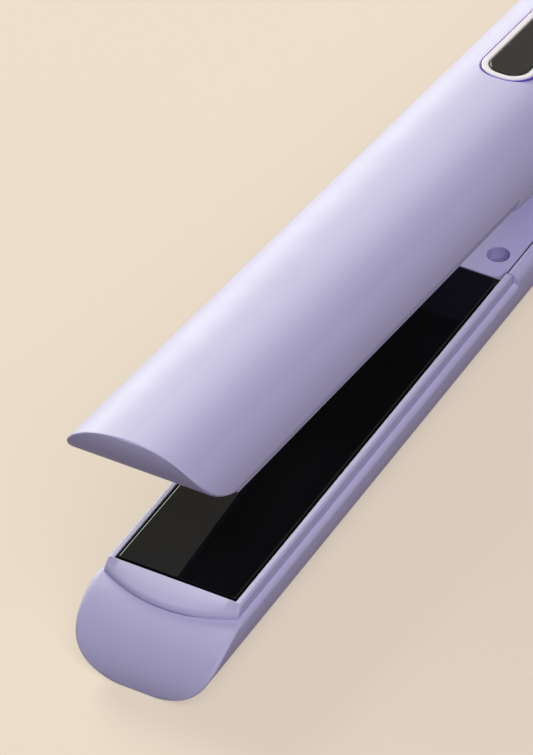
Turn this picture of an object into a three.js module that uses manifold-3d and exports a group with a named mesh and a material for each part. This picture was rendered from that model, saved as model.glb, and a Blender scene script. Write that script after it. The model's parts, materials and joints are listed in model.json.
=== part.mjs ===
// Flat-plate hair iron: two oval arms joined by a sprung hinge at the rear, each with a floating
// heated plate near its tip. Millimetres, +Z up. The lower arm lies on its back on z = 0, the tip
// points to -X and the hinge axis runs along Y. The arms stand open, as they do at rest.

import * as THREE from "three";
import { mergeVertices } from "three/addons/utils/BufferGeometryUtils.js";
import Module from "manifold-3d";

const wasm = await Module();
wasm.setup();

// ---------------------------------------------------------------------------------------------
// Driving dimensions
// ---------------------------------------------------------------------------------------------

// Clearances
const touchGap = 0.3; // between pieces that meet
const seamGap = 0.25; // visible seam round the inner cover
const turnGap = 0.5; // round a knuckle or a cap that turns
const slotGap = 0.4; // round a plate tongue in its slot
const past = 1; // how far a cutting solid runs past what it cuts
const cutCorner = 0.3; // corners that a cutter leaves

// Heating plate and what it carries
const plateLength = 101.7;
const plateWidth = 25;
const plateMargin = 0.5; // dark gap between the plate and its recess
const plateSkin = 1.04; // thickness of the plate's edge
const plateCore = 1.6; // thicker middle under the skin
const plateFrontCorner = 0.4;
const plateRearCorner = 1.6;
const plateProud = 0.15; // plate top above the frame top
const plateBevel = 0.4;
const plateTravel = 0.5; // how far the plate gives when hair is pressed
const coreClear = 0.8; // from the core's sides to the tray's
const railGap = 12.4; // between the two rails that hold the heater
const railThick = 1.2;
const railDepth = 3.5;
const railSetback = 6; // from the plate's ends to the rails' ends
const tongueWidth = 10;
const tongueThick = 1;
const tongueReach = 2.8;
const heaterThick = 1.5;
const micaThick = 0.4;
const micaOverhang = 1; // past each end of the heater
const clipThick = 0.5;
const clipClear = 1.85; // from the silicone pads to the clip's ends
const clipArm = 3.2;
const ridgeSetback = 7.5; // from the clip's ends to the ridge that bears on the mica
const ridgeHalf = 3.1;
const beadRadius = 0.8; // thermistor
const beadLength = 4;
const beadPlace = 2; // behind the heater
const beadClear = 1.55; // from the thermistor to the root of the rear tongue
const padLength = 6;
const padWidth = 16;
const trayFloor = 1.2;
const trayWall = 1.2;
const trayClear = 0.63; // from the tray's foot to the shell's inside
const trayInset = 2.5; // from the plate's ends to the tray's ends
const trayDrop = 7.5; // underside of the tray below the rim plane

// Plate frame
const frameRise = 2.24; // frame top above the rim plane
const frameWall = 1.16;
const frameFoot = 0.7; // how far the frame sinks into the shell's rebate
const frameBow = 4.9; // front strip ahead of the plate, at its middle
const bowRadius = 32;
const bowCorner = 1.2;
const frameBrow = 0.8; // flat part of the front strip
const frameSideRound = 0.6;
const railOverrun = 2.1; // side rails run on past the plate
const bridgeThick = 1.2; // over the front tongue
const wellInset = 2.4; // ledge left at each end of the frame's well

// Outer shell
const shellHalfWidth = 15.5;
const shellDepth = 13.44; // rim plane above the flat land on the back
const landHalf = 3;
const ovalPower = 2.43;
const shellWall = 1.8;
const sideWall = 3.2; // wall along the rim, where the inner cover rests
const tipStart = 0.3; // where the end face leaves the rim plane, ahead of the recess
const tipLength = 14.95; // from there to the upright end
const tipPower = 1.93; // fullness of the end face's profile
const tipCorner = 1.6;
const landEdge = 1;
const hollowReach = 1.5; // the hollow's mouth ahead of the recess, under the frame
const tailCorner = 6;
const shoulderInset = 1.8;
const wallBite = 0.8; // how deep ribs, posts and bosses sink into the wall
const ribThick = 1.6;
const ribHalf = 7;
const ribShares = [0.12, 0.5, 0.86]; // of the plate's length
const postRadius = 1.4;
const postInset = 2.5; // board posts in from the board's edges

// Inner cover of the handle
const coverHalf = 12.95;
const coverNose = 12.55; // half width where the cover lies between the rails
const coverThick = 1.8;
const noseCorner = 2;
const screwPlaceX = 6.5; // front screws behind the cover's front edge
const screwPlaceY = 9;
const rearScrewX = 26; // rear screw ahead of the hinge axis
const screwHeadRadius = 1.9;
const screwHeadHeight = 1.3;
const screwShankRadius = 1.1;
const screwLength = 6;
const screwPoint = 1;
const headEdge = 0.5;
const pilotExtra = 1; // pilot hole below the screw's tip
const wellRadius = 2.25;
const wellDepth = 4;
const wellWall = 1;

// Hinge
const hingeX = 241.4; // hinge axis behind the front edge of the recess
const closeGap = 0.28; // from the frame top to the plane where the arms close
const openAngle = 6.1; // degrees
const pinRadius = 2;
const knuckleRadius = 4.2;
const springBay = 4.2; // half width left for the spring between the inner knuckles
const knuckleWidth = 3.2;
const knuckleGap = 0.6;
const capRadius = 6;
const capFace = 15.4;
const capThick = 1.9;
const springRadius = 3.2;
const wireRadius = 0.5;
const springPitch = 1.5;
const springTurns = 3;
const springLeg = 12;

// Cord gland
const glandReach = 9.04; // from the tail to the gland's end
const cordBore = 3.4;
const journalRadius = 4;
const bushRadius = 5;
const flangeRadius = 6.9;
const turnNotch = 6.1; // radius of the notch in the upper arm, which turns round the bush
const flangeThick = 1.4;
const glandHead = 5.6;
const glandNose = 4.7;
const swivelGap = 0.63; // from the bush to the retaining clip
const glandStraight = 2.4;
const noseRound = 0.6;
const clipPlace = 0.6; // from the journal's inner end to the clip
const clipRing = 0.8;
const clipGroove = 0.5;
const clipReach = 1.3;

// Display and buttons, on the back of the upper arm
const ringFront = 124.3;
const ringLength = 50;
const ringHalf = 5.7;
const ringBand = 1.4;
const ringCorner = 5;
const ringProud = 0.1;
const glassThick = 0.9;
const windowLedge = 0.9; // under the glass's edge
const boardThick = 1.2;
const boardHalf = 8.5;
const boardLead = 4; // display board ahead of the ring
const boardTail = 8; // display board behind the last button
const buttonRadius = 3.1;
const buttonPitch = 9.5;
const buttonStart = 9; // first button behind the ring
const buttonProud = 0.7;
const buttonTravel = 0.4;
const buttonFlange = 0.9;
const flangeReach = 0.4; // flange beyond its hole
const buttonEdge = 0.5;
const switchSize = 4.6;
const switchHeight = 1.3;
const plungerRadius = 1.1;
const plungerHeight = 0.5;
const powerBoardLength = 62;
const powerBoardStart = 132;
const powerBoardDrop = 7.2;
const leadRadius = 1;
const leadSide = 3.2; // off the middle plane
const leadStep = 4; // the lead's bends behind the heater
const boardParts = {
  capacitor: { place: 6, length: 15, half: 5.5, height: 5.8 },
  triac: { place: 28, length: 10, half: 4.5, height: 3 },
  fuse: { place: 46, length: 12, half: 3, height: 3.4 },
};

// ---------------------------------------------------------------------------------------------
// Values that follow from them, in an arm's own frame: x back from the recess, z = 0 at the rim
// ---------------------------------------------------------------------------------------------

const recessLength = plateLength + 2 * plateMargin;
const recessHalf = plateWidth / 2 + plateMargin;
const frameHalf = recessHalf + frameWall;
const railEnd = recessLength + railOverrun;
const closeZ = frameRise + closeGap;
const plateTop = frameRise + plateProud;
const plateSkinFloor = plateTop - plateSkin;
const coreFloor = plateSkinFloor - plateCore;
const railFloor = coreFloor - railDepth;
const frameFloor = plateSkinFloor - plateTravel - 2 * touchGap;
const ovalDepth = shellDepth / (1 - (landHalf / shellHalfWidth) ** ovalPower) ** (1 / ovalPower);
const tailRadius = closeZ + shellDepth;
const cavityHalf = shellHalfWidth - sideWall;
const trayHalf = ovalHalf(-trayDrop, shellWall) - trayClear;
const coreHalf = trayHalf - coreClear;
const neckStart = tailEnd(closeZ - flangeRadius, shellWall) - hingeX - touchGap;
const clipStart = neckStart - flangeThick - swivelGap - clipRing;
const glandInner = clipStart - clipPlace;
const glandRear = tailRadius + glandReach;
const coverFloor = frameRise - coverThick;
const openRadians = THREE.MathUtils.degToRad(openAngle);
const innerKnuckleEnd = springBay + knuckleWidth;
const outerKnuckleStart = innerKnuckleEnd + knuckleGap;
const outerKnuckleEnd = outerKnuckleStart + knuckleWidth;
const capPocket = capRadius + turnGap;
const capInner = capFace - capThick;
const pinHalf = capInner - touchGap;
const hingeCentre = [hingeX, 0, closeZ];
const bushNotch = bushRadius + touchGap;
const wallInner = shellDepth - shellWall;
const standFloor = -wallInner - wallBite;
const buttonFloor = -wallInner + touchGap + buttonFlange;
const switchTop = buttonFloor + buttonTravel + touchGap;
const boardFace = switchTop + plungerHeight + switchHeight + touchGap;
const glassFloor = -shellDepth + glassThick;
const ringRear = ringFront + ringLength;
const displayBoardStart = ringFront - boardLead;
const displayBoardEnd = ringRear + buttonStart + 2 * buttonPitch + boardTail;
const ledgeInset = ringBand + touchGap + windowLedge;

// ---------------------------------------------------------------------------------------------
// Solids
// ---------------------------------------------------------------------------------------------

function solid(geometry) {
  const bare = geometry.clone();
  bare.deleteAttribute("normal");
  bare.deleteAttribute("uv");
  const merged = mergeVertices(bare);
  return new wasm.Manifold(new wasm.Mesh({
    numProp: 3,
    vertProperties: new Float32Array(merged.attributes.position.array),
    triVerts: new Uint32Array(merged.index.array),
  }));
}

function geometryOf(manifold) {
  const mesh = manifold.getMesh();
  const geometry = new THREE.BufferGeometry();
  geometry.setAttribute("position", new THREE.BufferAttribute(mesh.vertProperties, 3));
  geometry.setIndex(new THREE.BufferAttribute(mesh.triVerts, 1));
  return geometry;
}

function join(first, ...others) {
  return others.reduce((sum, other) => sum.add(solid(other)), solid(first));
}

function cut(manifold, ...tools) {
  return tools.reduce((rest, tool) => rest.subtract(solid(tool)), manifold);
}

function block(x0, x1, y0, y1, z0, z1) {
  const box = new THREE.BoxGeometry(x1 - x0, y1 - y0, z1 - z0);
  return box.translate((x0 + x1) / 2, (y0 + y1) / 2, (z0 + z1) / 2);
}

// A round bar between two places along one axis, centred on the other two coordinates.
function bar(axis, from, to, radius, centre, sides = 24) {
  const rod = new THREE.CylinderGeometry(radius, radius, to - from, sides);
  rod.translate(0, (from + to) / 2, 0);
  if (axis === "x") {
    rod.rotateZ(-Math.PI / 2);
  }
  if (axis === "z") {
    rod.rotateX(Math.PI / 2);
  }
  return rod.translate(...centre);
}

// Turns a closed [radius, place] profile round an axis through a centre.
function turned(axis, profile, centre, sides = 24) {
  const points = profile.map(([radius, place]) => new THREE.Vector2(radius, place));
  const body = new THREE.LatheGeometry(points, sides);
  if (axis === "x") {
    body.rotateZ(-Math.PI / 2);
  }
  if (axis === "z") {
    body.rotateX(Math.PI / 2);
  }
  return body.translate(...centre);
}

function tube(points, radius, steps, sides = 8) {
  const section = new THREE.Shape();
  for (let i = 0; i < sides; i += 1) {
    const angle = (2 * Math.PI * i) / sides;
    const corner = [radius * Math.cos(angle), radius * Math.sin(angle)];
    if (i === 0) {
      section.moveTo(...corner);
    } else {
      section.lineTo(...corner);
    }
  }
  const route = new THREE.CatmullRomCurve3(points.map((p) => new THREE.Vector3(...p)));
  return new THREE.ExtrudeGeometry(section, { steps, bevelEnabled: false, extrudePath: route });
}

// Closed skin over level outlines of equally many points, each counterclockwise from above.
function loft(rings) {
  const count = rings[0].length;
  const positions = rings.flat().flatMap((point) => point);
  const faces = [];
  for (let k = 0; k + 1 < rings.length; k += 1) {
    for (let i = 0; i < count; i += 1) {
      const next = (i + 1) % count;
      const low = k * count;
      const high = low + count;
      faces.push(low + i, low + next, high + next, low + i, high + next, high + i);
    }
  }
  const top = (rings.length - 1) * count;
  for (let i = 1; i + 1 < count; i += 1) {
    faces.push(0, i + 1, i, top, top + i, top + i + 1);
  }
  const skin = new THREE.BufferGeometry();
  skin.setAttribute("position", new THREE.Float32BufferAttribute(positions, 3));
  skin.setIndex(faces);
  return skin;
}

// Level outline of a long rounded rectangle, tip corners and tail corners rounded apart.
function plan(z, front, rear, half, tipRound, tailRound, steps = 4) {
  const corners = [
    [rear - tailRound, -half + tailRound, tailRound, -90],
    [rear - tailRound, half - tailRound, tailRound, 0],
    [front + tipRound, half - tipRound, tipRound, 90],
    [front + tipRound, -half + tipRound, tipRound, 180],
  ];
  return corners.flatMap(([x, y, radius, start]) => Array.from({ length: steps + 1 }, (_, i) => {
    const angle = THREE.MathUtils.degToRad(start + (90 * i) / steps);
    return [x + radius * Math.cos(angle), y + radius * Math.sin(angle), z];
  }));
}

// Extrudes an XZ outline across Y.
function sideways(outline, half) {
  const shape = new THREE.Shape(outline.map(([x, z]) => new THREE.Vector2(x, z)));
  const body = new THREE.ExtrudeGeometry(shape, { depth: 2 * half, bevelEnabled: false });
  return body.rotateX(Math.PI / 2).translate(0, half, 0);
}

// ---------------------------------------------------------------------------------------------
// Outer shell
// ---------------------------------------------------------------------------------------------

// Half width of the oval section at a level below the rim, drawn in by a wall.
function ovalHalf(z, wall = 0) {
  const share = Math.min(1, -Math.min(z, 0) / (ovalDepth - wall));
  return (shellHalfWidth - wall) * (1 - share ** ovalPower) ** (1 / ovalPower);
}

// The end face is a quarter oval that leaves the rim plane level and ends upright at the back.
function tipFront(z) {
  const share = 1 + Math.min(z, 0) / shellDepth;
  const face = -tipStart - tipLength * (1 - share ** tipPower) ** (1 / tipPower);
  const height = Math.min(z + shellDepth, landEdge);
  return face + landEdge - Math.sqrt(landEdge ** 2 - (landEdge - height) ** 2);
}

// The tail is round about the hinge axis.
function tailEnd(z, wall = 0) {
  const reach = (tailRadius - wall) ** 2 - (z - closeZ) ** 2;
  return hingeX + Math.sqrt(Math.max(0, reach));
}

// Levels between two heights, closer together near both ends.
function levels(from, to, count) {
  return Array.from({ length: count + 1 }, (_, i) => {
    const share = (1 + Math.cos((Math.PI * i) / count)) / 2;
    return to + (from - to) * share;
  });
}

const shellLevels = levels(-shellDepth, 0, 12);
const tipReach = -Math.min(...shellLevels.map(tipFront));

function shellOutside() {
  const rings = shellLevels.map((z) => {
    const half = ovalHalf(z);
    const tail = Math.min(tailCorner, half - cutCorner);
    return plan(z, tipFront(z), tailEnd(z), half, tipCorner, tail);
  });
  return loft(rings);
}

// Behind the plate frame the shell rises to the cover's top with rounded shoulders.
function shellShoulder() {
  const rings = Array.from({ length: 5 }, (_, i) => {
    const z = frameRise * Math.sin((Math.PI / 2) * (i / 4));
    const inset = shoulderInset * (1 - Math.cos((Math.PI / 2) * (i / 4)));
    const half = shellHalfWidth - inset;
    return plan(z, railEnd + touchGap, tailEnd(z), half, cutCorner, tailCorner);
  });
  return loft(rings);
}

// The hollow, as deep as a wall leaves it. Its roof slopes down and forward under the frame.
function shellCavity(wall = shellWall) {
  const rings = levels(wall - shellDepth, coverFloor, 8).map((z) => {
    const half = Math.min(shellHalfWidth - (shellHalfWidth - cavityHalf) * (wall / shellWall),
      ovalHalf(z, wall));
    const corner = Math.min(tailCorner - wall, half - cutCorner);
    const roof = Math.min(0, z + frameFoot + touchGap) - hollowReach;
    const front = Math.max(roof, tipFront(Math.max(z - wall, -shellDepth)) + 2 * wall);
    return plan(z, front, tailEnd(z, wall), half, tipCorner, corner);
  });
  return loft(rings);
}

// Pocket that takes the inner cover.
function coverPocket() {
  const half = coverHalf + seamGap;
  const rear = tailEnd(0, shellWall) + seamGap;
  const floor = coverFloor - touchGap;
  const corner = tailCorner - shellWall;
  return loft([floor, closeZ + past].map((z) => plan(z, recessLength, rear, half, cutCorner,
    corner)));
}

// Rebate that takes the plate frame.
function framePocket() {
  const floor = -frameFoot - touchGap;
  const rings = [floor, closeZ].map((z) => bowedPlan(z, frameHalf + touchGap, frameBow + touchGap,
    railEnd + touchGap));
  return loft(rings);
}

// What is cut away behind the hinge axis, so that the tails can close up as the arms open.
function tailWedge() {
  const far = 2 * tailRadius;
  const top = closeZ - touchGap / 2;
  return sideways([
    [hingeX, top],
    [hingeX + far, top - far * Math.tan(openRadians / 2)],
    [hingeX + far, closeZ + far],
    [hingeX, closeZ + far],
  ], 2 * shellHalfWidth);
}

function capPockets() {
  const far = 2 * shellHalfWidth;
  return [bar("y", coverHalf, far, capPocket, hingeCentre, 32),
    bar("y", -far, -coverHalf, capPocket, hingeCentre, 32)];
}

// Notches for the gland bush: the upper arm turns round it, so its notch is drawn out.
function bushNotches(arm) {
  const turns = arm === "upper";
  const angles = turns ? [0, 0.5, 1] : [0];
  const radius = turns ? turnNotch : bushNotch;
  return angles.map((share) => {
    const tool = bar("x", glandInner, 2 * tailRadius, radius, [0, 0, 0]);
    tool.rotateY(share * openRadians);
    return tool.translate(...hingeCentre);
  });
}

function screwPlaces() {
  const frontX = recessLength + screwPlaceX;
  return {
    left: [frontX, screwPlaceY],
    right: [frontX, -screwPlaceY],
    rear: [hingeX - rearScrewX, 0],
  };
}

const wellFloor = frameRise - wellDepth;
const wellBottom = wellFloor - wellWall;
const screwTop = wellFloor + touchGap + screwHeadHeight;
const screwTip = screwTop - screwLength;

function shell(arm) {
  const ribTop = -trayDrop - touchGap;
  const ribs = ribShares.map((share) => {
    const x = share * plateLength;
    return block(x, x + ribThick, -ribHalf, ribHalf, standFloor, ribTop);
  });
  const legRib = block(hingeX - springLeg, hingeX - springLeg + ribThick, -springBay, springBay,
    standFloor, closeZ - springRadius - wireRadius - touchGap);
  const bosses = Object.values(screwPlaces()).map(([x, y]) => bar("z", standFloor,
    wellBottom - touchGap, wellRadius, [x, y, 0], 16));
  const pilots = Object.values(screwPlaces()).map(([x, y]) => bar("z",
    screwTip - pilotExtra, wellBottom, screwShankRadius + touchGap, [x, y, 0], 12));
  let body = join(shellOutside(), shellShoulder());
  body = cut(body, shellCavity(), coverPocket(), framePocket());
  const furniture = join(legRib, ...ribs, ...bosses, ...boardPosts(arm));
  body = body.add(furniture.intersect(solid(shellCavity(shellWall / 2))));
  body = cut(body, tailWedge(), ...capPockets(), ...bushNotches(arm), ...pilots);
  if (arm === "upper") {
    body = cut(body, ringPocket(), displayWindow(), ...buttonHoles());
  }
  return geometryOf(body);
}

// ---------------------------------------------------------------------------------------------
// Plate frame
// ---------------------------------------------------------------------------------------------

// Level outline with small rounded corners, whose front edge bows forward unless it is flattened.
function bowedPlan(z, half, bow, rear, flatten = 0, steps = 8) {
  const sag = (y) => bowRadius - Math.sqrt(bowRadius ** 2 - y ** 2);
  const bowed = (y) => -bow + (1 - flatten) * sag(y);
  const reach = half - bowCorner;
  const corner = [0, 30, 60].map((degrees) => {
    const angle = THREE.MathUtils.degToRad(degrees);
    const y = reach + bowCorner * Math.cos(angle);
    return [bowed(reach) + bowCorner * (1 - Math.sin(angle)), y, z];
  });
  const arc = Array.from({ length: steps + 1 }, (_, i) => {
    const y = reach * (1 - (2 * i) / steps);
    return [bowed(y), y, z];
  });
  const mirrored = corner.map(([x, y]) => [x, -y, z]).reverse();
  return [[rear, -half, z], [rear, half, z], ...corner, ...arc, ...mirrored];
}

function plateFrame() {
  const rounding = [0, 15, 30, 45, 60, 75, 90].map((degrees) => {
    const angle = THREE.MathUtils.degToRad(degrees);
    const z = frameRise * Math.sin(angle);
    const turn = 1 - Math.cos(angle);
    const bow = frameBow + (frameBrow - frameBow) * turn;
    return bowedPlan(z, frameHalf - frameSideRound * turn ** 3, bow, railEnd, turn);
  });
  const outside = loft([bowedPlan(-frameFoot, frameHalf, frameBow, railEnd), ...rounding]);
  const recess = block(0, railEnd + past, -recessHalf, recessHalf, frameFloor, frameRise + past);
  const wellHalf = trayHalf + touchGap;
  const under = -frameFoot - past;
  const over = frameFloor + past;
  const well = block(wellInset, recessLength - wellInset, -wellHalf, wellHalf, under, over);
  const slotHalf = tongueWidth / 2 + slotGap;
  const rearSlot = block(recessLength / 2, railEnd + past, -slotHalf, slotHalf, under, over);
  const frontSlot = block(-tongueReach - slotGap, wellInset + past, -slotHalf, slotHalf, under,
    frontTongueTop + slotGap);
  return geometryOf(cut(solid(outside), recess, well, rearSlot, frontSlot));
}

// ---------------------------------------------------------------------------------------------
// Floating plate with its heater, and the tray beneath
// ---------------------------------------------------------------------------------------------

const plateStart = plateMargin;
const plateEnd = plateStart + plateLength;
const coreInset = wellInset + slotGap;
const clipLength = plateLength - 2 * (railSetback + padLength + clipClear);
const ridgeLength = clipLength - 2 * ridgeSetback;
const heaterRear = recessLength - coreInset - past - beadClear - beadLength - beadPlace;
const heaterLength = 2 * heaterRear - recessLength;
const frontTongueTop = frameRise - bridgeThick - slotGap;
const rearTongueTop = coverFloor - touchGap;
const heaterTop = coreFloor - touchGap;
const micaTop = heaterTop - heaterThick - touchGap;
const clipTop = micaTop - micaThick - touchGap;
const clipFloor = railFloor - touchGap - clipThick;
const heaterStart = recessLength - heaterRear;
const trayTop = -frameFoot - touchGap;
const railOuter = railGap / 2 + railThick;

function heatingPlate() {
  const half = plateWidth / 2;
  const bevelled = (z, inset) => plan(z, plateStart + inset, plateEnd - inset, half - inset,
    plateFrontCorner, plateRearCorner, 2);
  const skin = loft([
    bevelled(plateSkinFloor, 0),
    bevelled(plateTop - plateBevel, 0),
    bevelled(plateTop, plateBevel),
  ]);
  const coreStart = coreInset;
  const coreEnd = recessLength - coreInset;
  const core = block(coreStart, coreEnd, -coreHalf, coreHalf, coreFloor,
    plateSkinFloor + plateSkin / 2);
  const rails = [-1, 1].map((side) => {
    const near = side * railGap / 2;
    const far = side * railOuter;
    return block(plateStart + railSetback, plateEnd - railSetback, Math.min(near, far),
      Math.max(near, far), railFloor, coreFloor + plateCore / 2);
  });
  const tongueHalf = tongueWidth / 2;
  const frontTongue = block(-tongueReach, coreStart + past, -tongueHalf, tongueHalf,
    frontTongueTop - tongueThick, frontTongueTop);
  const rearTongue = block(coreEnd - past, recessLength + tongueReach, -tongueHalf, tongueHalf,
    rearTongueTop - tongueThick, rearTongueTop);
  return geometryOf(join(skin, core, ...rails, frontTongue, rearTongue));
}

function strip(length, half, z0, z1) {
  const start = plateStart + (plateLength - length) / 2;
  return block(start, start + length, -half, half, z0, z1);
}

function ceramicHeater() {
  return strip(heaterLength, railGap / 2 - touchGap, heaterTop - heaterThick, heaterTop);
}

function micaSheet() {
  return strip(heaterLength + 2 * micaOverhang, railGap / 2 - touchGap, micaTop - micaThick, micaTop);
}

// Spring steel channel that grips the rails and presses the heater up with a ridge.
function heaterClip() {
  const inner = railOuter + touchGap;
  const outer = inner + clipThick;
  const base = strip(clipLength, outer, clipFloor, clipFloor + clipThick);
  const walls = [-1, 1].map((side) => {
    const start = plateStart + (plateLength - clipLength) / 2;
    return block(start, start + clipLength, Math.min(side * inner, side * outer),
      Math.max(side * inner, side * outer), clipFloor, clipFloor + clipArm);
  });
  const ridge = strip(ridgeLength, ridgeHalf, clipFloor, clipTop);
  return geometryOf(join(base, ...walls, ridge));
}

function thermistor() {
  const nose = 0.6 * beadRadius;
  const profile = [
    [0, 0],
    [nose, 0],
    [beadRadius, nose],
    [beadRadius, beadLength - nose],
    [nose, beadLength],
    [0, beadLength],
  ];
  const x = heaterStart + heaterLength + beadPlace;
  return turned("x", profile, [x, 0, heaterTop - beadRadius], 12);
}

function heaterTray() {
  const x0 = plateStart + trayInset;
  const x1 = plateEnd - trayInset;
  const outside = block(x0, x1, -trayHalf, trayHalf, -trayDrop, trayTop);
  const inside = block(x0 - past, x1 + past, trayWall - trayHalf, trayHalf - trayWall,
    -trayDrop + trayFloor, trayTop + past);
  return geometryOf(cut(solid(outside), inside));
}

function pad(place) {
  const x = place === "front" ? plateStart + railSetback : plateEnd - railSetback - padLength;
  const floor = -trayDrop + trayFloor + touchGap;
  return block(x, x + padLength, -padWidth / 2, padWidth / 2, floor, railFloor - touchGap);
}

// Runs from behind the heater, down to the tray and on to the top of the arm's board.
function heaterLead(arm) {
  const [boardX, boardTop] = arm === "lower"
    ? [powerBoardStart, -powerBoardDrop]
    : [displayBoardStart, boardFace + boardThick];
  const start = heaterStart + heaterLength + micaOverhang + 2 * touchGap;
  const high = heaterTop - heaterThick;
  const low = -trayDrop + trayFloor + leadRadius + touchGap;
  const end = boardTop + leadRadius + touchGap;
  const padEnd = plateEnd - railSetback + leadRadius + touchGap;
  const route = [
    [start, leadSide, high],
    [padEnd, leadSide, high - touchGap],
    [padEnd + leadStep, leadSide, low + touchGap],
    [recessLength + leadStep, leadSide, low],
    [recessLength + 3 * leadStep, leadSide, low],
    [boardX - leadStep, leadSide, Math.max(low, end)],
    [boardX + leadStep, leadSide, end],
  ];
  return tube(route, leadRadius, 16);
}

// ---------------------------------------------------------------------------------------------
// Inner cover with its hinge knuckles
// ---------------------------------------------------------------------------------------------

function coverPlate() {
  const rear = tailEnd(0, shellWall);
  const corner = tailCorner - shellWall;
  const step = railEnd + 2 * touchGap;
  const outline = new THREE.Shape();
  outline.moveTo(recessLength, -coverNose + noseCorner);
  outline.absarc(recessLength + noseCorner, -coverNose + noseCorner, noseCorner, Math.PI,
    1.5 * Math.PI);
  outline.lineTo(step, -coverNose);
  outline.lineTo(step, -coverHalf);
  outline.lineTo(rear - corner, -coverHalf);
  outline.absarc(rear - corner, -coverHalf + corner, corner, -0.5 * Math.PI, 0);
  outline.absarc(rear - corner, coverHalf - corner, corner, 0, 0.5 * Math.PI);
  outline.lineTo(step, coverHalf);
  outline.lineTo(step, coverNose);
  outline.absarc(recessLength + noseCorner, coverNose - noseCorner, noseCorner, 0.5 * Math.PI,
    Math.PI);
  const slab = new THREE.ExtrudeGeometry(outline, {
    depth: coverThick,
    bevelEnabled: false,
    curveSegments: 6,
  });
  return slab.translate(0, 0, coverFloor);
}

function knucklePair(start, end, radius) {
  return [bar("y", start, end, radius, hingeCentre), bar("y", -end, -start, radius, hingeCentre)];
}

function innerCover(arm) {
  const places = Object.values(screwPlaces());
  const wells = places.map(([x, y]) => bar("z", wellBottom, frameRise - coverThick / 2,
    wellRadius + wellWall, [x, y, 0], 24));
  const cups = places.map(([x, y]) => bar("z", wellFloor, frameRise + past, wellRadius,
    [x, y, 0], 24));
  const holes = places.map(([x, y]) => bar("z", wellBottom - past, wellFloor + past,
    screwShankRadius + touchGap, [x, y, 0], 12));
  const bay = bar("y", -springBay + touchGap, springBay - touchGap, knuckleRadius + turnGap,
    hingeCentre);
  const bushRoom = block(hingeX + knuckleRadius + turnGap, hingeX + 2 * tailRadius,
    -flangeRadius - 2 * turnGap, flangeRadius + 2 * turnGap, coverFloor - past, closeZ + past);
  const pinHole = bar("y", -2 * pinHalf, 2 * pinHalf, pinRadius + touchGap, hingeCentre);
  const half = knuckleGap / 2;
  const own = arm === "lower" ? [springBay, innerKnuckleEnd] : [outerKnuckleStart, outerKnuckleEnd];
  const other = arm === "lower"
    ? [innerKnuckleEnd + half, outerKnuckleEnd + half]
    : [springBay - half, innerKnuckleEnd + half];
  let body = cut(solid(coverPlate()), tailWedge(), ...capPockets(), bushRoom, bay);
  body = wells.reduce((sum, well) => sum.add(solid(well)), body);
  body = cut(body, ...cups, ...holes, ...knucklePair(...other, knuckleRadius + turnGap));
  body = knucklePair(...own, knuckleRadius).reduce((sum, ear) => sum.add(solid(ear)), body);
  return geometryOf(cut(body, pinHole));
}

function coverScrew(place) {
  const [x, y] = screwPlaces()[place];
  const headBottom = screwTop - screwHeadHeight;
  const profile = [
    [0, screwTip],
    [screwShankRadius * 0.4, screwTip],
    [screwShankRadius, screwTip + screwPoint],
    [screwShankRadius, headBottom],
    [screwHeadRadius, headBottom],
    [screwHeadRadius, screwTop - headEdge],
    [screwHeadRadius * 0.7, screwTop],
    [0, screwTop],
  ];
  return turned("z", profile, [x, y, 0], 16);
}

// ---------------------------------------------------------------------------------------------
// Hinge, spring and gland: they belong to the lower arm
// ---------------------------------------------------------------------------------------------

function hingePin() {
  const edge = 0.4;
  const profile = [
    [0, -pinHalf],
    [pinRadius - edge, -pinHalf],
    [pinRadius, -pinHalf + edge],
    [pinRadius, pinHalf - edge],
    [pinRadius - edge, pinHalf],
    [0, pinHalf],
  ];
  return turned("y", profile, hingeCentre, 20);
}

// Button-shaped cap over each end of the pin, slightly domed.
function hingeCap(side) {
  const edge = 0.5;
  const dish = 0.3;
  const profile = [
    [0, capInner],
    [capRadius, capInner],
    [capRadius, capFace - edge],
    [capRadius - edge, capFace - dish * 0.2],
    [capRadius * 0.6, capFace],
    [0, capFace],
  ];
  const cap = turned("y", profile, [0, 0, 0], 32);
  if (side === "right") {
    cap.rotateX(Math.PI);
  }
  return cap.translate(...hingeCentre);
}

// Torsion spring round the pin: a leg under the lower cover, a leg over the upper one.
function openingSpring() {
  const along = springPitch * (springTurns + 0.5);
  const stepsPerTurn = 12;
  const total = 2 * Math.PI * springTurns + Math.PI - openRadians;
  const count = Math.round((total / (2 * Math.PI)) * stepsPerTurn);
  const points = [
    [-springLeg, -along / 2, -springRadius],
    [-springLeg * 0.66, -along / 2, -springRadius],
    [-springLeg * 0.33, -along / 2, -springRadius],
  ];
  for (let i = 0; i <= count; i += 1) {
    const angle = -Math.PI / 2 + (total * i) / count;
    const y = -along / 2 + (along * i) / count;
    points.push([springRadius * Math.cos(angle), y, springRadius * Math.sin(angle)]);
  }
  const upward = [Math.sin(openRadians), Math.cos(openRadians)];
  [0.33, 0.66, 1].forEach((share) => {
    const reach = springLeg * share;
    points.push([
      springRadius * upward[0] - reach * upward[1],
      along / 2,
      springRadius * upward[1] + reach * upward[0],
    ]);
  });
  const placed = points.map(([x, y, z]) => [x + hingeX, y, z + closeZ]);
  return tube(placed, wireRadius, count + 12, 6);
}

// Bush clamped in the lower shell's tail wall, between its inner flange and its collar.
function glandBush() {
  const neckEnd = tailRadius + touchGap;
  const bore = journalRadius + touchGap;
  const profile = [
    [bore, neckStart - flangeThick],
    [flangeRadius, neckStart - flangeThick],
    [flangeRadius, neckStart],
    [bushRadius, neckStart],
    [bushRadius, neckEnd],
    [flangeRadius, neckEnd],
    [flangeRadius, neckEnd + flangeThick],
    [bore, neckEnd + flangeThick],
    [bore, neckStart - flangeThick],
  ];
  return turned("x", profile, hingeCentre, 24);
}

const glandHeadStart = tailRadius + 2 * touchGap + flangeThick;

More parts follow.
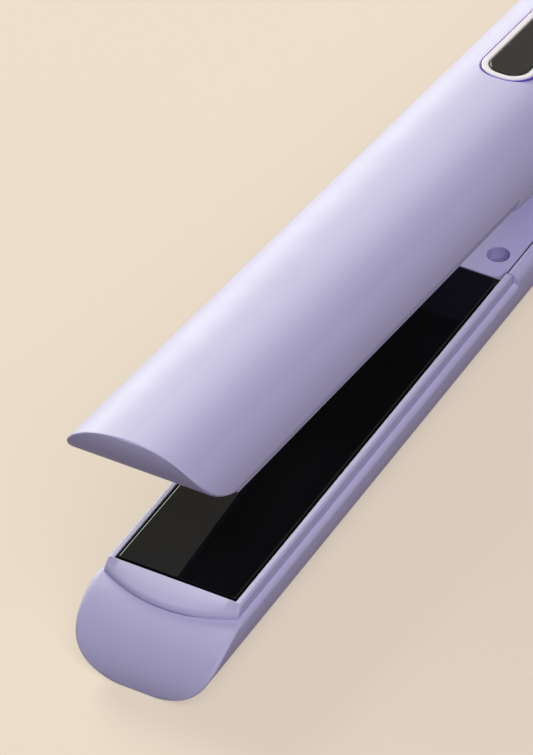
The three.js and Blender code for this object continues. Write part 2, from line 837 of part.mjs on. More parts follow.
// Hollow swivel that the cord leaves by.
function cordGland() {
  const groove = journalRadius - clipGroove;
  const profile = [
    [cordBore, glandInner],
    [journalRadius, glandInner],
    [journalRadius, clipStart - touchGap],
    [groove, clipStart - touchGap],
    [groove, clipStart + clipRing + touchGap],
    [journalRadius, clipStart + clipRing + touchGap],
    [journalRadius, glandHeadStart],
    [glandHead, glandHeadStart],
    [glandHead, glandHeadStart + glandStraight],
    [glandNose, glandRear - noseRound],
    [glandNose - noseRound, glandRear],
    [cordBore, glandRear],
    [cordBore, glandInner],
  ];
  return turned("x", profile, hingeCentre, 24);
}

function glandClip() {
  const inner = journalRadius - clipGroove + touchGap;
  const outer = journalRadius + clipReach;
  const profile = [
    [inner, clipStart],
    [outer, clipStart],
    [outer, clipStart + clipRing],
    [inner, clipStart + clipRing],
    [inner, clipStart],
  ];
  return turned("x", profile, hingeCentre, 20);
}

// ---------------------------------------------------------------------------------------------
// Boards, display and buttons
// ---------------------------------------------------------------------------------------------

function powerBoard() {
  return block(powerBoardStart, powerBoardStart + powerBoardLength, -boardHalf, boardHalf,
    -powerBoardDrop - boardThick, -powerBoardDrop);
}

// Part standing on the power board: place back from its front edge, size, height.
function boardPart({ place, length, half, height }) {
  const x = powerBoardStart + place;
  const z = -powerBoardDrop + touchGap;
  return block(x, x + length, -half, half, z, z + height);
}

// Posts in the shell that carry the arm's board at its corners.
function boardPosts(arm) {
  const [start, end, floor] = arm === "lower"
    ? [powerBoardStart, powerBoardStart + powerBoardLength, -powerBoardDrop - boardThick]
    : [displayBoardStart, displayBoardEnd, boardFace];
  const corners = [start + postInset, end - postInset].flatMap((x) => [
    [x, boardHalf - postInset],
    [x, postInset - boardHalf],
  ]);
  return corners.map(([x, y]) => bar("z", standFloor, floor - touchGap, postRadius,
    [x, y, 0], 10));
}

function rounded(front, rear, half, corner, z0, z1) {
  return loft([z0, z1].map((z) => plan(z, front, rear, half, corner, corner, 5)));
}

// Pocket that the ring and the glass lie in, and the window through its floor.
function ringPocket() {
  return rounded(ringFront - touchGap, ringRear + touchGap, ringHalf + touchGap, ringCorner,
    -shellDepth - past, glassFloor + touchGap);
}

function displayWindow() {
  return rounded(ringFront + ledgeInset, ringRear - ledgeInset, ringHalf - ledgeInset,
    ringCorner - ledgeInset, -shellDepth - past, past - wallInner);
}

function displayRing() {
  const outer = rounded(ringFront, ringRear, ringHalf, ringCorner, -shellDepth - ringProud,
    glassFloor);
  const inner = rounded(ringFront + ringBand, ringRear - ringBand, ringHalf - ringBand,
    ringCorner - ringBand, -shellDepth - past, past - wallInner);
  return geometryOf(cut(solid(outer), inner));
}

function displayGlass() {
  const inset = ringBand + touchGap;
  return rounded(ringFront + inset, ringRear - inset, ringHalf - inset, ringCorner - inset,
    -shellDepth, glassFloor);
}

function displayBoard() {
  return block(displayBoardStart, displayBoardEnd, -boardHalf, boardHalf, boardFace,
    boardFace + boardThick);
}

function displayModule() {
  const inset = ledgeInset + 2 * touchGap;
  return block(ringFront + 2 * inset, ringRear - 2 * inset, inset - ringHalf, ringHalf - inset,
    glassFloor + touchGap, boardFace - touchGap);
}

function buttonX(index) {
  return ringRear + buttonStart + index * buttonPitch;
}

function buttonHoles() {
  return [0, 1, 2].map((index) => bar("z", -shellDepth - past, past - wallInner,
    buttonRadius + touchGap, [buttonX(index), 0, 0]));
}

// Button cap: a domed face outside, and a wider flange that holds it inside the shell.
function buttonCap(index) {
  const face = -shellDepth - buttonProud;
  const flangeTop = -wallInner + touchGap;
  const flangeRim = buttonRadius + touchGap + flangeReach;
  const profile = [
    [0, face],
    [buttonRadius * 0.6, face + buttonEdge * 0.1],
    [buttonRadius - buttonEdge * 0.6, face + buttonEdge * 0.4],
    [buttonRadius, face + buttonEdge],
    [buttonRadius, flangeTop],
    [flangeRim, flangeTop],
    [flangeRim, buttonFloor],
    [0, buttonFloor],
  ];
  return turned("z", profile, [buttonX(index), 0, 0], 24);
}

function tactSwitch(index) {
  const x = buttonX(index);
  const half = switchSize / 2;
  const body = block(x - half, x + half, -half, half, switchTop + plungerHeight,
    boardFace - touchGap);
  const plunger = bar("z", switchTop, boardFace - 2 * touchGap, plungerRadius, [x, 0, 0], 12);
  return geometryOf(join(body, plunger));
}

// ---------------------------------------------------------------------------------------------
// Finishes
// ---------------------------------------------------------------------------------------------

function finish(color, roughness, metalness = 0) {
  return new THREE.MeshStandardMaterial({ color, roughness, metalness });
}

const finishes = {
  lilac: finish(0xaba4c9, 0.42),
  lilacInner: finish(0xa097c6, 0.48),
  plate: finish(0x101011, 0.12, 0.3),
  ceramic: finish(0xe6e0d2, 0.7),
  mica: finish(0xb59a6a, 0.5),
  springSteel: finish(0x9da1a6, 0.35, 0.9),
  steel: finish(0xb9bcc0, 0.3, 0.9),
  tray: finish(0x2a2a2d, 0.6),
  silicone: finish(0xb8482e, 0.75),
  lead: finish(0xd9d4c4, 0.55),
  board: finish(0x1f5a35, 0.5),
  capacitor: finish(0xc9a227, 0.45),
  blackPart: finish(0x1b1b1d, 0.45),
  ring: finish(0xf4eef6, 0.3),
  glass: finish(0x17171a, 0.08),
  button: finish(0xb4add1, 0.38),
  gland: finish(0x8e86b4, 0.5),
};

function piece(name, geometry, material) {
  const mesh = new THREE.Mesh(geometry, finishes[material]);
  mesh.name = name;
  return mesh;
}

// ---------------------------------------------------------------------------------------------
// Assembly
// ---------------------------------------------------------------------------------------------

function armPieces(arm) {
  return [
    piece(`${arm}_shell`, shell(arm), "lilac"),
    piece(`${arm}_plate_frame`, plateFrame(), "lilac"),
    piece(`${arm}_inner_cover`, innerCover(arm), "lilacInner"),
    piece(`${arm}_heating_plate`, heatingPlate(), "plate"),
    piece(`${arm}_ceramic_heater`, ceramicHeater(), "ceramic"),
    piece(`${arm}_mica_sheet`, micaSheet(), "mica"),
    piece(`${arm}_heater_clip`, heaterClip(), "springSteel"),
    piece(`${arm}_thermistor`, thermistor(), "blackPart"),
    piece(`${arm}_heater_tray`, heaterTray(), "tray"),
    piece(`${arm}_front_pad`, pad("front"), "silicone"),
    piece(`${arm}_rear_pad`, pad("rear"), "silicone"),
    piece(`${arm}_heater_lead`, heaterLead(arm), "lead"),
    piece(`${arm}_screw_left`, coverScrew("left"), "steel"),
    piece(`${arm}_screw_right`, coverScrew("right"), "steel"),
    piece(`${arm}_screw_rear`, coverScrew("rear"), "steel"),
  ];
}

const lowerArm = new THREE.Group();
lowerArm.add(
  ...armPieces("lower"),
  piece("power_board", powerBoard(), "board"),
  piece("mains_capacitor", boardPart(boardParts.capacitor), "capacitor"),
  piece("heater_triac", boardPart(boardParts.triac), "blackPart"),
  piece("mains_fuse", boardPart(boardParts.fuse), "blackPart"),
  piece("hinge_pin", hingePin(), "steel"),
  piece("hinge_cap_left", hingeCap("left"), "lilac"),
  piece("hinge_cap_right", hingeCap("right"), "lilac"),
  piece("opening_spring", openingSpring(), "springSteel"),
  piece("gland_bush", glandBush(), "gland"),
  piece("cord_gland", cordGland(), "gland"),
  piece("gland_clip", glandClip(), "springSteel"),
);

// The upper arm is the lower one rolled over about the closing plane, and opened at the hinge.
const upperArm = new THREE.Group();
upperArm.add(
  ...armPieces("upper"),
  piece("display_ring", displayRing(), "ring"),
  piece("display_glass", displayGlass(), "glass"),
  piece("display_board", displayBoard(), "board"),
  piece("display_module", displayModule(), "blackPart"),
  piece("power_button", buttonCap(0), "button"),
  piece("warmer_button", buttonCap(1), "button"),
  piece("cooler_button", buttonCap(2), "button"),
  piece("power_switch", tactSwitch(0), "blackPart"),
  piece("warmer_switch", tactSwitch(1), "blackPart"),
  piece("cooler_switch", tactSwitch(2), "blackPart"),
);
upperArm.rotation.x = Math.PI;
upperArm.position.set(-hingeX, 0, closeZ);

const opened = new THREE.Group();
opened.add(upperArm);
opened.rotation.y = openRadians;
opened.position.set(hingeX, 0, closeZ);

// Origin: middle of the whole length and width, on the surface that the lower arm lies on.
const object = new THREE.Group();
object.add(lowerArm, opened);
object.position.set((tipReach - hingeX - glandRear) / 2, 0, shellDepth);

const model = new THREE.Group();
model.add(object);
model.updateMatrixWorld(true);

export default model;
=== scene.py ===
"""Flat-plate hair iron: the visible pieces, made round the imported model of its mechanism.

Lengths are in metres. An arm's own frame has x back from the plate recess, z = 0 at the shell's rim
and the closed side up. The upper arm is the lower one rolled over and opened at the hinge.
"""
import json
from math import asin, cos, pi, radians, sin, sqrt, tan

import bmesh
import bpy
from mathutils import Matrix, Vector

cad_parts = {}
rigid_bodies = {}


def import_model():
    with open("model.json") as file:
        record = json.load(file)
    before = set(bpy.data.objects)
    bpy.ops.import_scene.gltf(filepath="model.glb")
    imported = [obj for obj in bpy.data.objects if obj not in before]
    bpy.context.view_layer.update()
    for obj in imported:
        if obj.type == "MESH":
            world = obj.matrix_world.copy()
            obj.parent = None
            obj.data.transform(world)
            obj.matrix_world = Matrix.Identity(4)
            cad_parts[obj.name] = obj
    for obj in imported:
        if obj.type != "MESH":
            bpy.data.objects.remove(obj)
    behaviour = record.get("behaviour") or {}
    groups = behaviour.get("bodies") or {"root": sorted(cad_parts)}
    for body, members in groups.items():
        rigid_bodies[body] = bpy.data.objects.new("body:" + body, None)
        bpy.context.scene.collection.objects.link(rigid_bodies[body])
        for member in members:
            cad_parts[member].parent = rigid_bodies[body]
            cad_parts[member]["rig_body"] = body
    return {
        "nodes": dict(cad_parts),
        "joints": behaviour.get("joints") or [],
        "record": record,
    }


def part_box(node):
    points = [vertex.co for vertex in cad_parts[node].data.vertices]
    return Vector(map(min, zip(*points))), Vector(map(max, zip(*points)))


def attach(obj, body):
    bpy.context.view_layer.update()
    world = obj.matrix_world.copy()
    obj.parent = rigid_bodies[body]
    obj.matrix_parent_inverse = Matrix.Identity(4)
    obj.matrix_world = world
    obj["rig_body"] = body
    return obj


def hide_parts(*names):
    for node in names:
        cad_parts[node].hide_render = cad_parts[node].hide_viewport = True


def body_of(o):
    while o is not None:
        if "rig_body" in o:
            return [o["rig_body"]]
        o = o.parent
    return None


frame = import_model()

bl_info = {
    "name": "Flat-plate hair iron",
    "version": (1, 0, 0),
    "blender": (4, 5, 0),
    "location": "View3D > Sidebar > Hair iron",
    "description": "Builds the visible pieces of a hair iron round its packed model",
    "category": "Add Mesh",
}

MM = 0.001
ARMS = ("lower", "upper")
HINGE = next(joint for joint in frame["joints"] if joint["name"] == "arm_hinge")
HINGE_POINT = Vector(HINGE["pos_m"])
OPEN_ANGLE = radians(-HINGE["range_deg"][0])
SHELL_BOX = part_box("lower_shell")
COVER_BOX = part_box("lower_inner_cover")
GLAND_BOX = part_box("cord_gland")
CAP_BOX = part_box("hinge_cap_left")
RECESS_LENGTH = 102.7 * MM  # the plate's recess, with the gap at both ends
RECESS_FRONT = COVER_BOX[0].x - RECESS_LENGTH
FRAME_RISE = 2.24 * MM  # the frame and the inner cover above the rim
RIB_PLACES = (12.2 * MM, 50.8 * MM, 87.4 * MM)  # front faces of the ribs, behind the recess front
RIM_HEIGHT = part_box("lower_plate_frame")[1].z - FRAME_RISE
SCREW_BORE = 1.4 * MM  # radius of the screws' clearance holes
ON_AXIS = 1e-7  # a radius below this counts as on the axis
COOL_SHEEN = (0.72, 0.84, 1.0, 1.0)  # tint of what the plate and the glass reflect


# ----------------------------------------------------------------------------------------------
# Sizes and colours
# ----------------------------------------------------------------------------------------------

def length(name, description, millimetres):
    """A size in the scene's own unit."""
    return bpy.props.FloatProperty(name=name, description=description, default=millimetres * MM,
                                   unit="LENGTH", precision=5)


def colour(name, description, red, green, blue):
    """A linear colour."""
    return bpy.props.FloatVectorProperty(name=name, description=description, subtype="COLOR",
                                         default=(red, green, blue), min=0, max=1)


class ArmSizes(bpy.types.PropertyGroup):
    """Outer shell, plate frame, plate and inner cover: both arms share them."""

    half_width: length("Half width", "Half the arm's width at the rim", SHELL_BOX[1].y / MM)
    depth: length("Depth", "Rim above the crown of the back", RIM_HEIGHT / MM - 0.06)
    land_half: length("Land half width", "Half the width of the level strip on the back", 0.4)
    oval_power: bpy.props.FloatProperty(name="Oval power", default=2.48,
                                        description="Fullness of the oval section")
    wall: length("Wall", "Thickness of the shell's back", 1.8)
    side_wall: length("Side wall", "Thickness of the shell along the rim", 3.2)
    tip_start: length("Tip start", "Where the end face leaves the rim, ahead of the recess", 0.3)
    tip_length: length("Tip length", "From there to the end face's upright end", 14.91)
    tip_power: bpy.props.FloatProperty(name="Tip power", default=1.93,
                                       description="Fullness of the end face's profile")
    hollow_reach: length("Hollow reach", "The hollow's mouth ahead of the recess", 1.5)
    tip_corner: length("Tip corner", "Radius between the end face and the rim", 1.6)
    land_edge: length("Land edge", "Radius between the end face and the back", 0.45)
    tail_corner: length("Tail corner", "Radius of the tail seen from above", 6)
    shoulder_inset: length("Shoulder inset", "How far the shoulder's top is drawn in", 1.8)
    rim_round: length("Rim round", "Radius along the rim beside the plate", 1.2)
    mouth_round: length("Mouth round", "Radius at the edge of pockets and holes", 0.22)
    frame_gap: length("Frame gap", "Between the plate frame and the shell's skin", 0.06)
    frame_mouth: length("Frame mouth", "Radius of the shell's edge along the frame", 0.12)
    gap: length("Gap", "Between pieces that meet", 0.3)
    seam: length("Seam", "Round the inner cover", 0.3)
    # Dark strips of painted shade sit in the seams beside the inner cover and between the display
    # ring and the glass. The next three give the play beside them, then the seam strips' top and
    # end.
    gap_shade_play: length("Liner play", "Beside the dark strips in the seams", 0.03)
    seam_drop: length("Seam drop", "Dark strip in the seam below the cover's top", 0.15)
    seam_end: length("Seam strip end", "Dark strips end ahead of the hinge axis", 14)
    turn_gap: length("Turning gap", "Round a knuckle or a cap", 0.5)

    frame_wall: length("Frame wall", "Wall of the plate frame beside the plate", 1.3)
    frame_foot: length("Frame foot", "How far the frame sinks into the shell", 0.7)
    frame_bow: length("Frame bow", "Front strip ahead of the plate, at its middle", 5.1)
    bow_radius: length("Bow radius", "Radius of the bowed front edge", 32)
    bow_corner: length("Bow corner", "Radius at the frame's front corners", 0.6)
    frame_brow: length("Frame brow", "Level part of the front strip", 0.2)
    frame_step: length("Frame step", "Front strip above the end face, at its front edge", 0.95)
    frame_edge: length("Frame edge", "Radius round the frame's top", 0.6)
    overrun: length("Rail overrun", "Frame rails behind the plate recess", 2.1)
    well_margin: length("Frame well margin", "Well for the tray inside the recess's ends", 2.4)
    well_half: length("Frame well half width", "Well for the tray under the plate", 11.1)
    slot_reach: length("Slot reach", "Slot for the plate's tongue ahead of the recess", 3)
    slot_half: length("Slot half width", "Slot for the plate's tongues", 5.4)
    slot_top: length("Slot top", "Slot for the plate's tongues above the rim", 0.8)

    plate_length: length("Plate length", "Heating plate", 101.7)
    plate_width: length("Plate width", "Heating plate", 25)
    plate_margin: length("Plate margin", "Dark gap round the plate", 0.5)
    plate_front_corner: length("Plate front corners", "Radius seen from above", 0.4)
    plate_rear_corner: length("Plate rear corners", "Radius seen from above", 1.6)
    plate_skin: length("Plate skin", "Thickness of the plate's edge", 1.04)
    plate_core: length("Plate core", "Thicker middle under the skin", 1.6)
    plate_proud: length("Plate proud", "Plate above the frame", 0.15)
    plate_round: length("Plate rounding", "Radius of the plate's long upper edges", 0.4)
    plate_ends: length("Plate ends", "Radius of the plate's upper edges at its ends", 0.1)
    plate_room: length("Plate room", "Under the plate's edge, for its travel", 1.1)
    core_margin: length("Core margin", "Plate core inside the recess's ends", 2.8)
    core_half: length("Core half width", "Plate core", 10)
    rail_margin: length("Rail margin", "Heater rails inside the recess's ends", 6.5)
    rail_side: length("Rail side", "Heater rails off the middle plane", 6.2)
    rail_width: length("Rail width", "Heater rails under the core", 1.2)
    rail_height: length("Rail height", "Heater rails under the core", 3.5)
    rail_root: length("Rail root", "Heater rails' bond in the core", 0.8)
    tongue_reach: length("Tongue reach", "Plate's tongues beyond the recess", 2.8)
    tongue_root: length("Tongue root", "Plate's tongues inside the recess", 3.8)
    tongue_half: length("Tongue half width", "Plate's tongues", 5)
    tongue_thick: length("Tongue thickness", "Plate's tongues", 1)
    front_tongue: length("Front tongue", "Its top above the rim", 0.64)
    rear_tongue: length("Rear tongue", "Its top above the rim", 0.14)
    # A dark sheet of painted shade on the walls of the plate's recess: its thickness, and how far
    # its top sits below the frame.
    gap_shade_wall: length("Liner wall", "Dark liner round the plate", 0.12)
    gap_shade_drop: length("Liner drop", "Top of the liner below the frame", 0.16)

    cover_half: length("Cover half width", "Inner cover of the handle", 12.95)
    nose_half: length("Nose half width", "Inner cover between the frame's rails", 12.55)
    cover_thick: length("Cover thickness", "Inner cover of the handle", 1.8)
    nose_corner: length("Nose corner", "Front corners of the inner cover", 2)
    cover_round: length("Cover rounding", "Upper edges of the inner cover", 0.2)
    screw_x: length("Screw place", "Front screws behind the cover's front edge", 6.5)
    screw_y: length("Screw side", "Front screws off the middle plane", 9)
    rear_screw: length("Rear screw", "Rear screw ahead of the hinge axis", 26)
    well_radius: length("Well radius", "Recess round each screw", 2.25)
    well_depth: length("Well depth", "Recess round each screw", 4)
    well_wall: length("Well wall", "Floor and wall of the recess", 1)
    rib_half: length("Rib half length", "Ribs under the heater tray", 7)
    rib_width: length("Rib width", "Ribs under the heater tray", 1.6)
    rib_top: length("Rib top", "Ribs under the heater tray, below the rim", 7.8)


class DetailSizes(bpy.types.PropertyGroup):
    """Hinge, cord outlet, display and buttons."""

    pin_radius: length("Pin radius", "Hinge pin", 2)
    knuckle_radius: length("Knuckle radius", "Hinge knuckles", 4.2)
    knuckle_width: length("Knuckle width", "Hinge knuckles", 3.2)
    knuckle_gap: length("Knuckle gap", "Between neighbouring knuckles", 0.6)
    spring_bay: length("Spring bay", "Half width left for the spring", 4.2)
    cap_radius: length("Cap radius", "Cap over the hinge pin", 6)
    cap_thick: length("Cap thickness", "Cap over the hinge pin", 1.9)
    gland_inner: length("Gland start", "Bush notch behind the hinge axis",
                        (GLAND_BOX[0].x - HINGE_POINT.x) / MM)
    bush_radius: length("Bush radius", "Bush in the tail", 5)
    turn_notch: length("Turning notch", "Notch in the upper arm, which turns round the bush", 6.1)
    flange_radius: length("Flange radius", "Flanges of the bush", 6.9)
    flange_thick: length("Flange thickness", "Flanges of the bush", 1.4)
    journal_radius: length("Journal radius", "Gland inside the bush", 4)
    cord_bore: length("Cord bore", "Radius of the way through the gland", 3.4)
    gland_head: length("Gland head", "Radius of the gland's head", 5.6)
    gland_nose: length("Gland nose", "Radius of the gland's outer end", 4.7)
    gland_straight: length("Gland straight", "Length of the head before it tapers", 2.4)
    clip_groove: length("Clip groove", "Depth of the clip's groove in the gland", 0.5)
    nose_bevel: length("Nose bevel", "Bevel at the gland's outer end", 0.6)
    turned_break: length("Turned edges", "Radius on the edges of the bush and the gland", 0.25)
    flute_radius: length("Flute radius", "Grip flutes round the gland's head", 0.6)
    flute_offset: length("Flute offset", "Centres of the flutes beyond the head", 0.35)
    flute_start: length("Flute start", "Flutes behind the head's shoulder", 0.7)
    flute_end: length("Flute end", "Flutes ahead of the gland's outer end", 1.2)

    ring_front: length("Ring front", "Display ring behind the recess front", 124.3)
    ring_length: length("Ring length", "Display ring", 50)
    ring_half: length("Ring half width", "Display ring", 5.7)
    ring_band: length("Ring band", "Width of the ring's band", 1.4)
    ring_corner: length("Ring corner", "Outer corners of the ring", 5)
    ring_proud: length("Ring proud", "Ring above the shell's back", 0.1)
    ring_round: length("Ring rounding", "Upper edges of the ring", 0.3)
    glass_thick: length("Glass thickness", "Display glass", 0.9)
    ledge: length("Window ledge", "Shell under the edge of the glass", 0.9)
    # A deep violet band of painted shade in the gap round the display ring; the next five sizes
    # shape it.
    ring_shade_width: length("Seal width", "Seal between the ring and the shell", 0.22)
    ring_shade_play: length("Seal play", "Between the seal and the ring", 0.04)
    ring_shade_drop: length("Seal drop", "Seal's top below the shell's back", 0.06)
    ring_shade_shoulder: length("Seal shoulder", "Seal's side edges below the shell's back", 0.12)
    ring_shade_bevel: length("Seal bevel", "Width of the seal's bevels", 0.05)
    # Top of a black band of painted shade in the gap between the ring and the glass.
    shade_line_drop: length("Glass bed drop", "Glass bed below the top of the glass", 0.12)
    glass_round: length("Glass rounding", "Upper edges of the display glass", 0.2)
    button_radius: length("Button radius", "Button caps", 3.1)
    button_pitch: length("Button pitch", "From one button to the next", 9.5)
    button_start: length("Button start", "First button behind the ring", 9)
    button_proud: length("Button proud", "Button above the shell's back", 0.7)
    button_round: length("Button rounding", "Radius on the edges of a button", 0.3)
    button_flange: length("Button flange", "Flange inside the shell", 0.9)
    flange_reach: length("Flange reach", "Flange beyond its hole", 0.4)
    mark_depth: length("Mark depth", "Sign sunk into each button", 0.12)
    mark_half: length("Mark half length", "Sign sunk into each button", 1.15)
    mark_line: length("Mark line", "Width of the sign's lines", 0.34)


class IronColours(bpy.types.PropertyGroup):
    """Colours of the surfaces that show."""

    shell: colour("Shell", "Satin lilac of the shells", 0.570, 0.530, 0.810)
    frame: colour("Frame", "Satin lilac of the plate frames", 0.570, 0.530, 0.810)
    cover: colour("Inner cover", "Deeper lilac of the inner covers", 0.480, 0.430, 0.760)
    plate: colour("Plate", "Coat of the heating plates", 0.004, 0.004, 0.005)
    ring: colour("Ring", "Display ring", 0.90, 0.84, 0.92)
    # Deep violet painted shade of the gap round the display ring.
    ring_shade: colour("Seal", "Violet seal round the ring", 0.140, 0.075, 0.560)
    glass: colour("Glass", "Smoked display window", 0.006, 0.006, 0.007)
    gland: colour("Gland", "Cord outlet", 0.270, 0.235, 0.440)


class StageSettings(bpy.types.PropertyGroup):
    """Camera, floor and light."""

    camera_place: bpy.props.FloatVectorProperty(
        name="Camera place", description="Camera in the lower arm's own frame",
        subtype="TRANSLATION", unit="LENGTH", default=(-0.624079, -0.409717, 0.695351))
    azimuth: bpy.props.FloatProperty(name="Azimuth", description="Camera's turn round Z",
                                     default=radians(-58.1527), subtype="ANGLE")
    elevation: bpy.props.FloatProperty(name="Elevation", description="Camera above the horizon",
                                       default=radians(40.8568), subtype="ANGLE")
    roll: bpy.props.FloatProperty(name="Roll", description="Camera's turn about its own axis",
                                  default=radians(-3.0505), subtype="ANGLE")
    clip_start: length("Clip start", "Nearest that the camera sees", 50)
    lens: bpy.props.FloatProperty(name="Lens", description="Focal length in millimetres",
                                  default=264.98)
    backdrop: colour("Backdrop", "Pale beige of the floor and the sky", 0.863, 0.745, 0.617)
    floor_shade: colour("Floor bounce", "What the floor throws back", 0.095, 0.090, 0.140)
    floor_half: length("Floor half width", "Floor, from its middle to its edges", 6000)
    floor_glow: bpy.props.FloatProperty(name="Floor glow", default=0.6,
                                        description="Part of the floor that no shadow darkens")
    key_place: bpy.props.FloatVectorProperty(
        name="Key place", description="Large soft box, low behind the arms",
        subtype="TRANSLATION", unit="LENGTH", default=(1.16, 1.67, 0.84))
    key_tint: colour("Key tint", "Colour of the key light", 0.95, 1.0, 0.80)
    key_width: length("Key width", "Large soft box", 1200)
    key_height: length("Key height", "Large soft box", 900)
    key_power: bpy.props.FloatProperty(name="Key light", description="Large soft box",
                                       default=58.0, unit="POWER")
    fill_place: bpy.props.FloatVectorProperty(
        name="Fill place", description="Wide soft box on the camera's side",
        subtype="TRANSLATION", unit="LENGTH", default=(-0.89, -0.86, 1.58))
    fill_tint: colour("Fill tint", "Colour of the fill light", 0.97, 0.96, 1.0)
    fill_side: length("Fill side", "Square soft box on the camera's side", 1400)
    fill_power: bpy.props.FloatProperty(name="Fill light", description="Wide soft box",
                                        default=25.0, unit="POWER")
    lamp_aim: bpy.props.FloatVectorProperty(
        name="Lamp aim", description="Where both soft boxes look",
        subtype="TRANSLATION", unit="LENGTH", default=(-0.04, 0.0, 0.03))
    sky_tint: colour("Sky tint", "Colour of the even light", 0.97, 0.96, 1.0)
    sky_strength: bpy.props.FloatProperty(name="Sky", description="Strength of the even light",
                                          default=0.1)


# ----------------------------------------------------------------------------------------------
# Mesh tools
# ----------------------------------------------------------------------------------------------

def new_piece(name, points, faces):
    """Object with a mesh, whose faces all look outward."""
    mesh = bpy.data.meshes.new(name)
    mesh.from_pydata([tuple(point) for point in points], [], faces)
    work = bmesh.new()
    work.from_mesh(mesh)
    bmesh.ops.recalc_face_normals(work, faces=work.faces)
    work.to_mesh(mesh)
    work.free()
    piece = bpy.data.objects.new(name, mesh)
    bpy.context.scene.collection.objects.link(piece)
    return piece


def loft(name, rings, closed=False):
    """Skin over rings of equally many points, capped at both ends or closed on itself."""
    count = len(rings[0])
    spans = len(rings) if closed else len(rings) - 1
    faces = []
    for k in range(spans):
        low = k * count
        high = (k + 1) % len(rings) * count
        for i in range(count):
            after = (i + 1) % count
            faces.append((low + i, low + after, high + after, high + i))
    if not closed:
        faces.append(tuple(range(count)))
        faces.append(tuple(range(spans * count, (spans + 1) * count)))
    return new_piece(name, [point for ring in rings for point in ring], faces)


def turned(name, profile, axis, centre=(0, 0, 0), steps=72):
    """Body of revolution over (radius, place) pairs, from axis to axis or closed on itself."""
    order = {"x": (2, 0, 1), "y": (1, 2, 0), "z": (0, 1, 2)}[axis]
    points = []
    rows = []
    for radius, along in profile:
        sides = steps if radius > ON_AXIS else 1
        rows.append([len(points) + i for i in range(sides)])
        for i in range(sides):
            angle = 2 * pi * i / steps
            spot = (radius * cos(angle), radius * sin(angle), along)
            points.append([spot[order[k]] + centre[k] for k in range(3)])
    pairs = list(zip(rows, rows[1:]))
    if len(rows[0]) > 1:
        pairs.append((rows[-1], rows[0]))
    faces = []
    for low, high in pairs:
        for i in range(steps):
            face = [low[i % len(low)], low[(i + 1) % len(low)],
                    high[(i + 1) % len(high)], high[i % len(high)]]
            corners = list(dict.fromkeys(face))
            if len(corners) > 2:
                faces.append(corners)
    return new_piece(name, points, faces)


def rod(axis, start, end, radius, centre=(0, 0, 0), steps=48):
    """Round bar between two places along an axis."""
    profile = [(0, start), (radius, start), (radius, end), (0, end)]
    return turned("rod", profile, axis, centre, steps)


def cuboid(x0, x1, y0, y1, z0, z1):
    """Square-edged solid, used to cut or to join."""
    level = [(x0, y0), (x1, y0), (x1, y1), (x0, y1)]
    return loft("cuboid", [[(x, y, z) for x, y in level] for z in (z0, z1)])


def settle(piece):
    """Makes a piece's modifiers part of its mesh."""
    graph = bpy.context.evaluated_depsgraph_get()
    mesh = bpy.data.meshes.new_from_object(piece.evaluated_get(graph), depsgraph=graph)
    old = piece.data
    piece.modifiers.clear()
    piece.data = mesh
    bpy.data.meshes.remove(old)


def combine(piece, tools, operation):
    """Joins, cuts or crosses a piece with tools, which are used up."""
    for tool in tools:
        modifier = piece.modifiers.new("combine", "BOOLEAN")
        modifier.operation = operation
        modifier.solver = "EXACT"
        modifier.object = tool
        settle(piece)
        bpy.data.objects.remove(tool)
    return piece


def cut(piece, *tools):
    return combine(piece, tools, "DIFFERENCE")


def join(piece, *tools):
    return combine(piece, tools, "UNION")


def smooth(piece, angle=28):
    """Smooth shading that breaks at edges sharper than an angle."""
    work = bmesh.new()
    work.from_mesh(piece.data)
    bmesh.ops.remove_doubles(work, verts=work.verts, dist=1e-6)
    bmesh.ops.dissolve_degenerate(work, edges=work.edges, dist=1e-6)
    bmesh.ops.recalc_face_normals(work, faces=work.faces)
    work.to_mesh(piece.data)
    work.free()
    piece.data.polygons.foreach_set("use_smooth", [True] * len(piece.data.polygons))
    piece.data.set_sharp_from_angle(angle=radians(angle))
    weighted = piece.modifiers.new("shading", "WEIGHTED_NORMAL")
    weighted.keep_sharp = True
    settle(piece)
    return piece


def quarter_round(radius, steps):
    """How far in and how far down a rounded edge runs, from its side to its top."""
    turns = [radians(90 * i / steps) for i in range(steps + 1)]
    return [(radius * (1 - cos(turn)), radius * (1 - sin(turn))) for turn in turns]


def deliver(piece, finish, node, *others):
    """Gives a piece its finish and its place among the moving bodies of the model."""
    piece.data.materials.clear()
    piece.data.materials.append(FINISHES[finish]())
    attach(piece, body_of(frame["nodes"][node])[0])
    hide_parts(node, *others)


# ----------------------------------------------------------------------------------------------
# Outlines and sections, in an arm's own frame
# ----------------------------------------------------------------------------------------------

def place(arm):
    """Matrix from an arm's own frame to the model's frame."""
    reach = HINGE_POINT.x - RECESS_FRONT
    height = HINGE_POINT.z - RIM_HEIGHT
    if arm == "lower":
        return Matrix.Translation((RECESS_FRONT, 0, RIM_HEIGHT))
    opened = Matrix.Translation(HINGE_POINT) @ Matrix.Rotation(OPEN_ANGLE, 4, "Y")
    return opened @ Matrix.Rotation(pi, 4, "X") @ Matrix.Translation((-reach, 0, -height))


def seat(piece, arm):
    """Moves a finished mesh from its arm's own frame to the model's frame."""
    piece.data.transform(place(arm))


def hinge_local():
    """Hinge axis in an arm's own frame."""
    return Vector((HINGE_POINT.x - RECESS_FRONT, 0, HINGE_POINT.z - RIM_HEIGHT))


def spread(start, end, count):
    """Levels between two heights, closer together near both ends."""
    return [end + (start - end) * (1 + cos(pi * i / count)) / 2 for i in range(count + 1)]


def oval_depth(sizes):
    share = (sizes.land_half / sizes.half_width) ** sizes.oval_power
    return sizes.depth / (1 - share) ** (1 / sizes.oval_power)


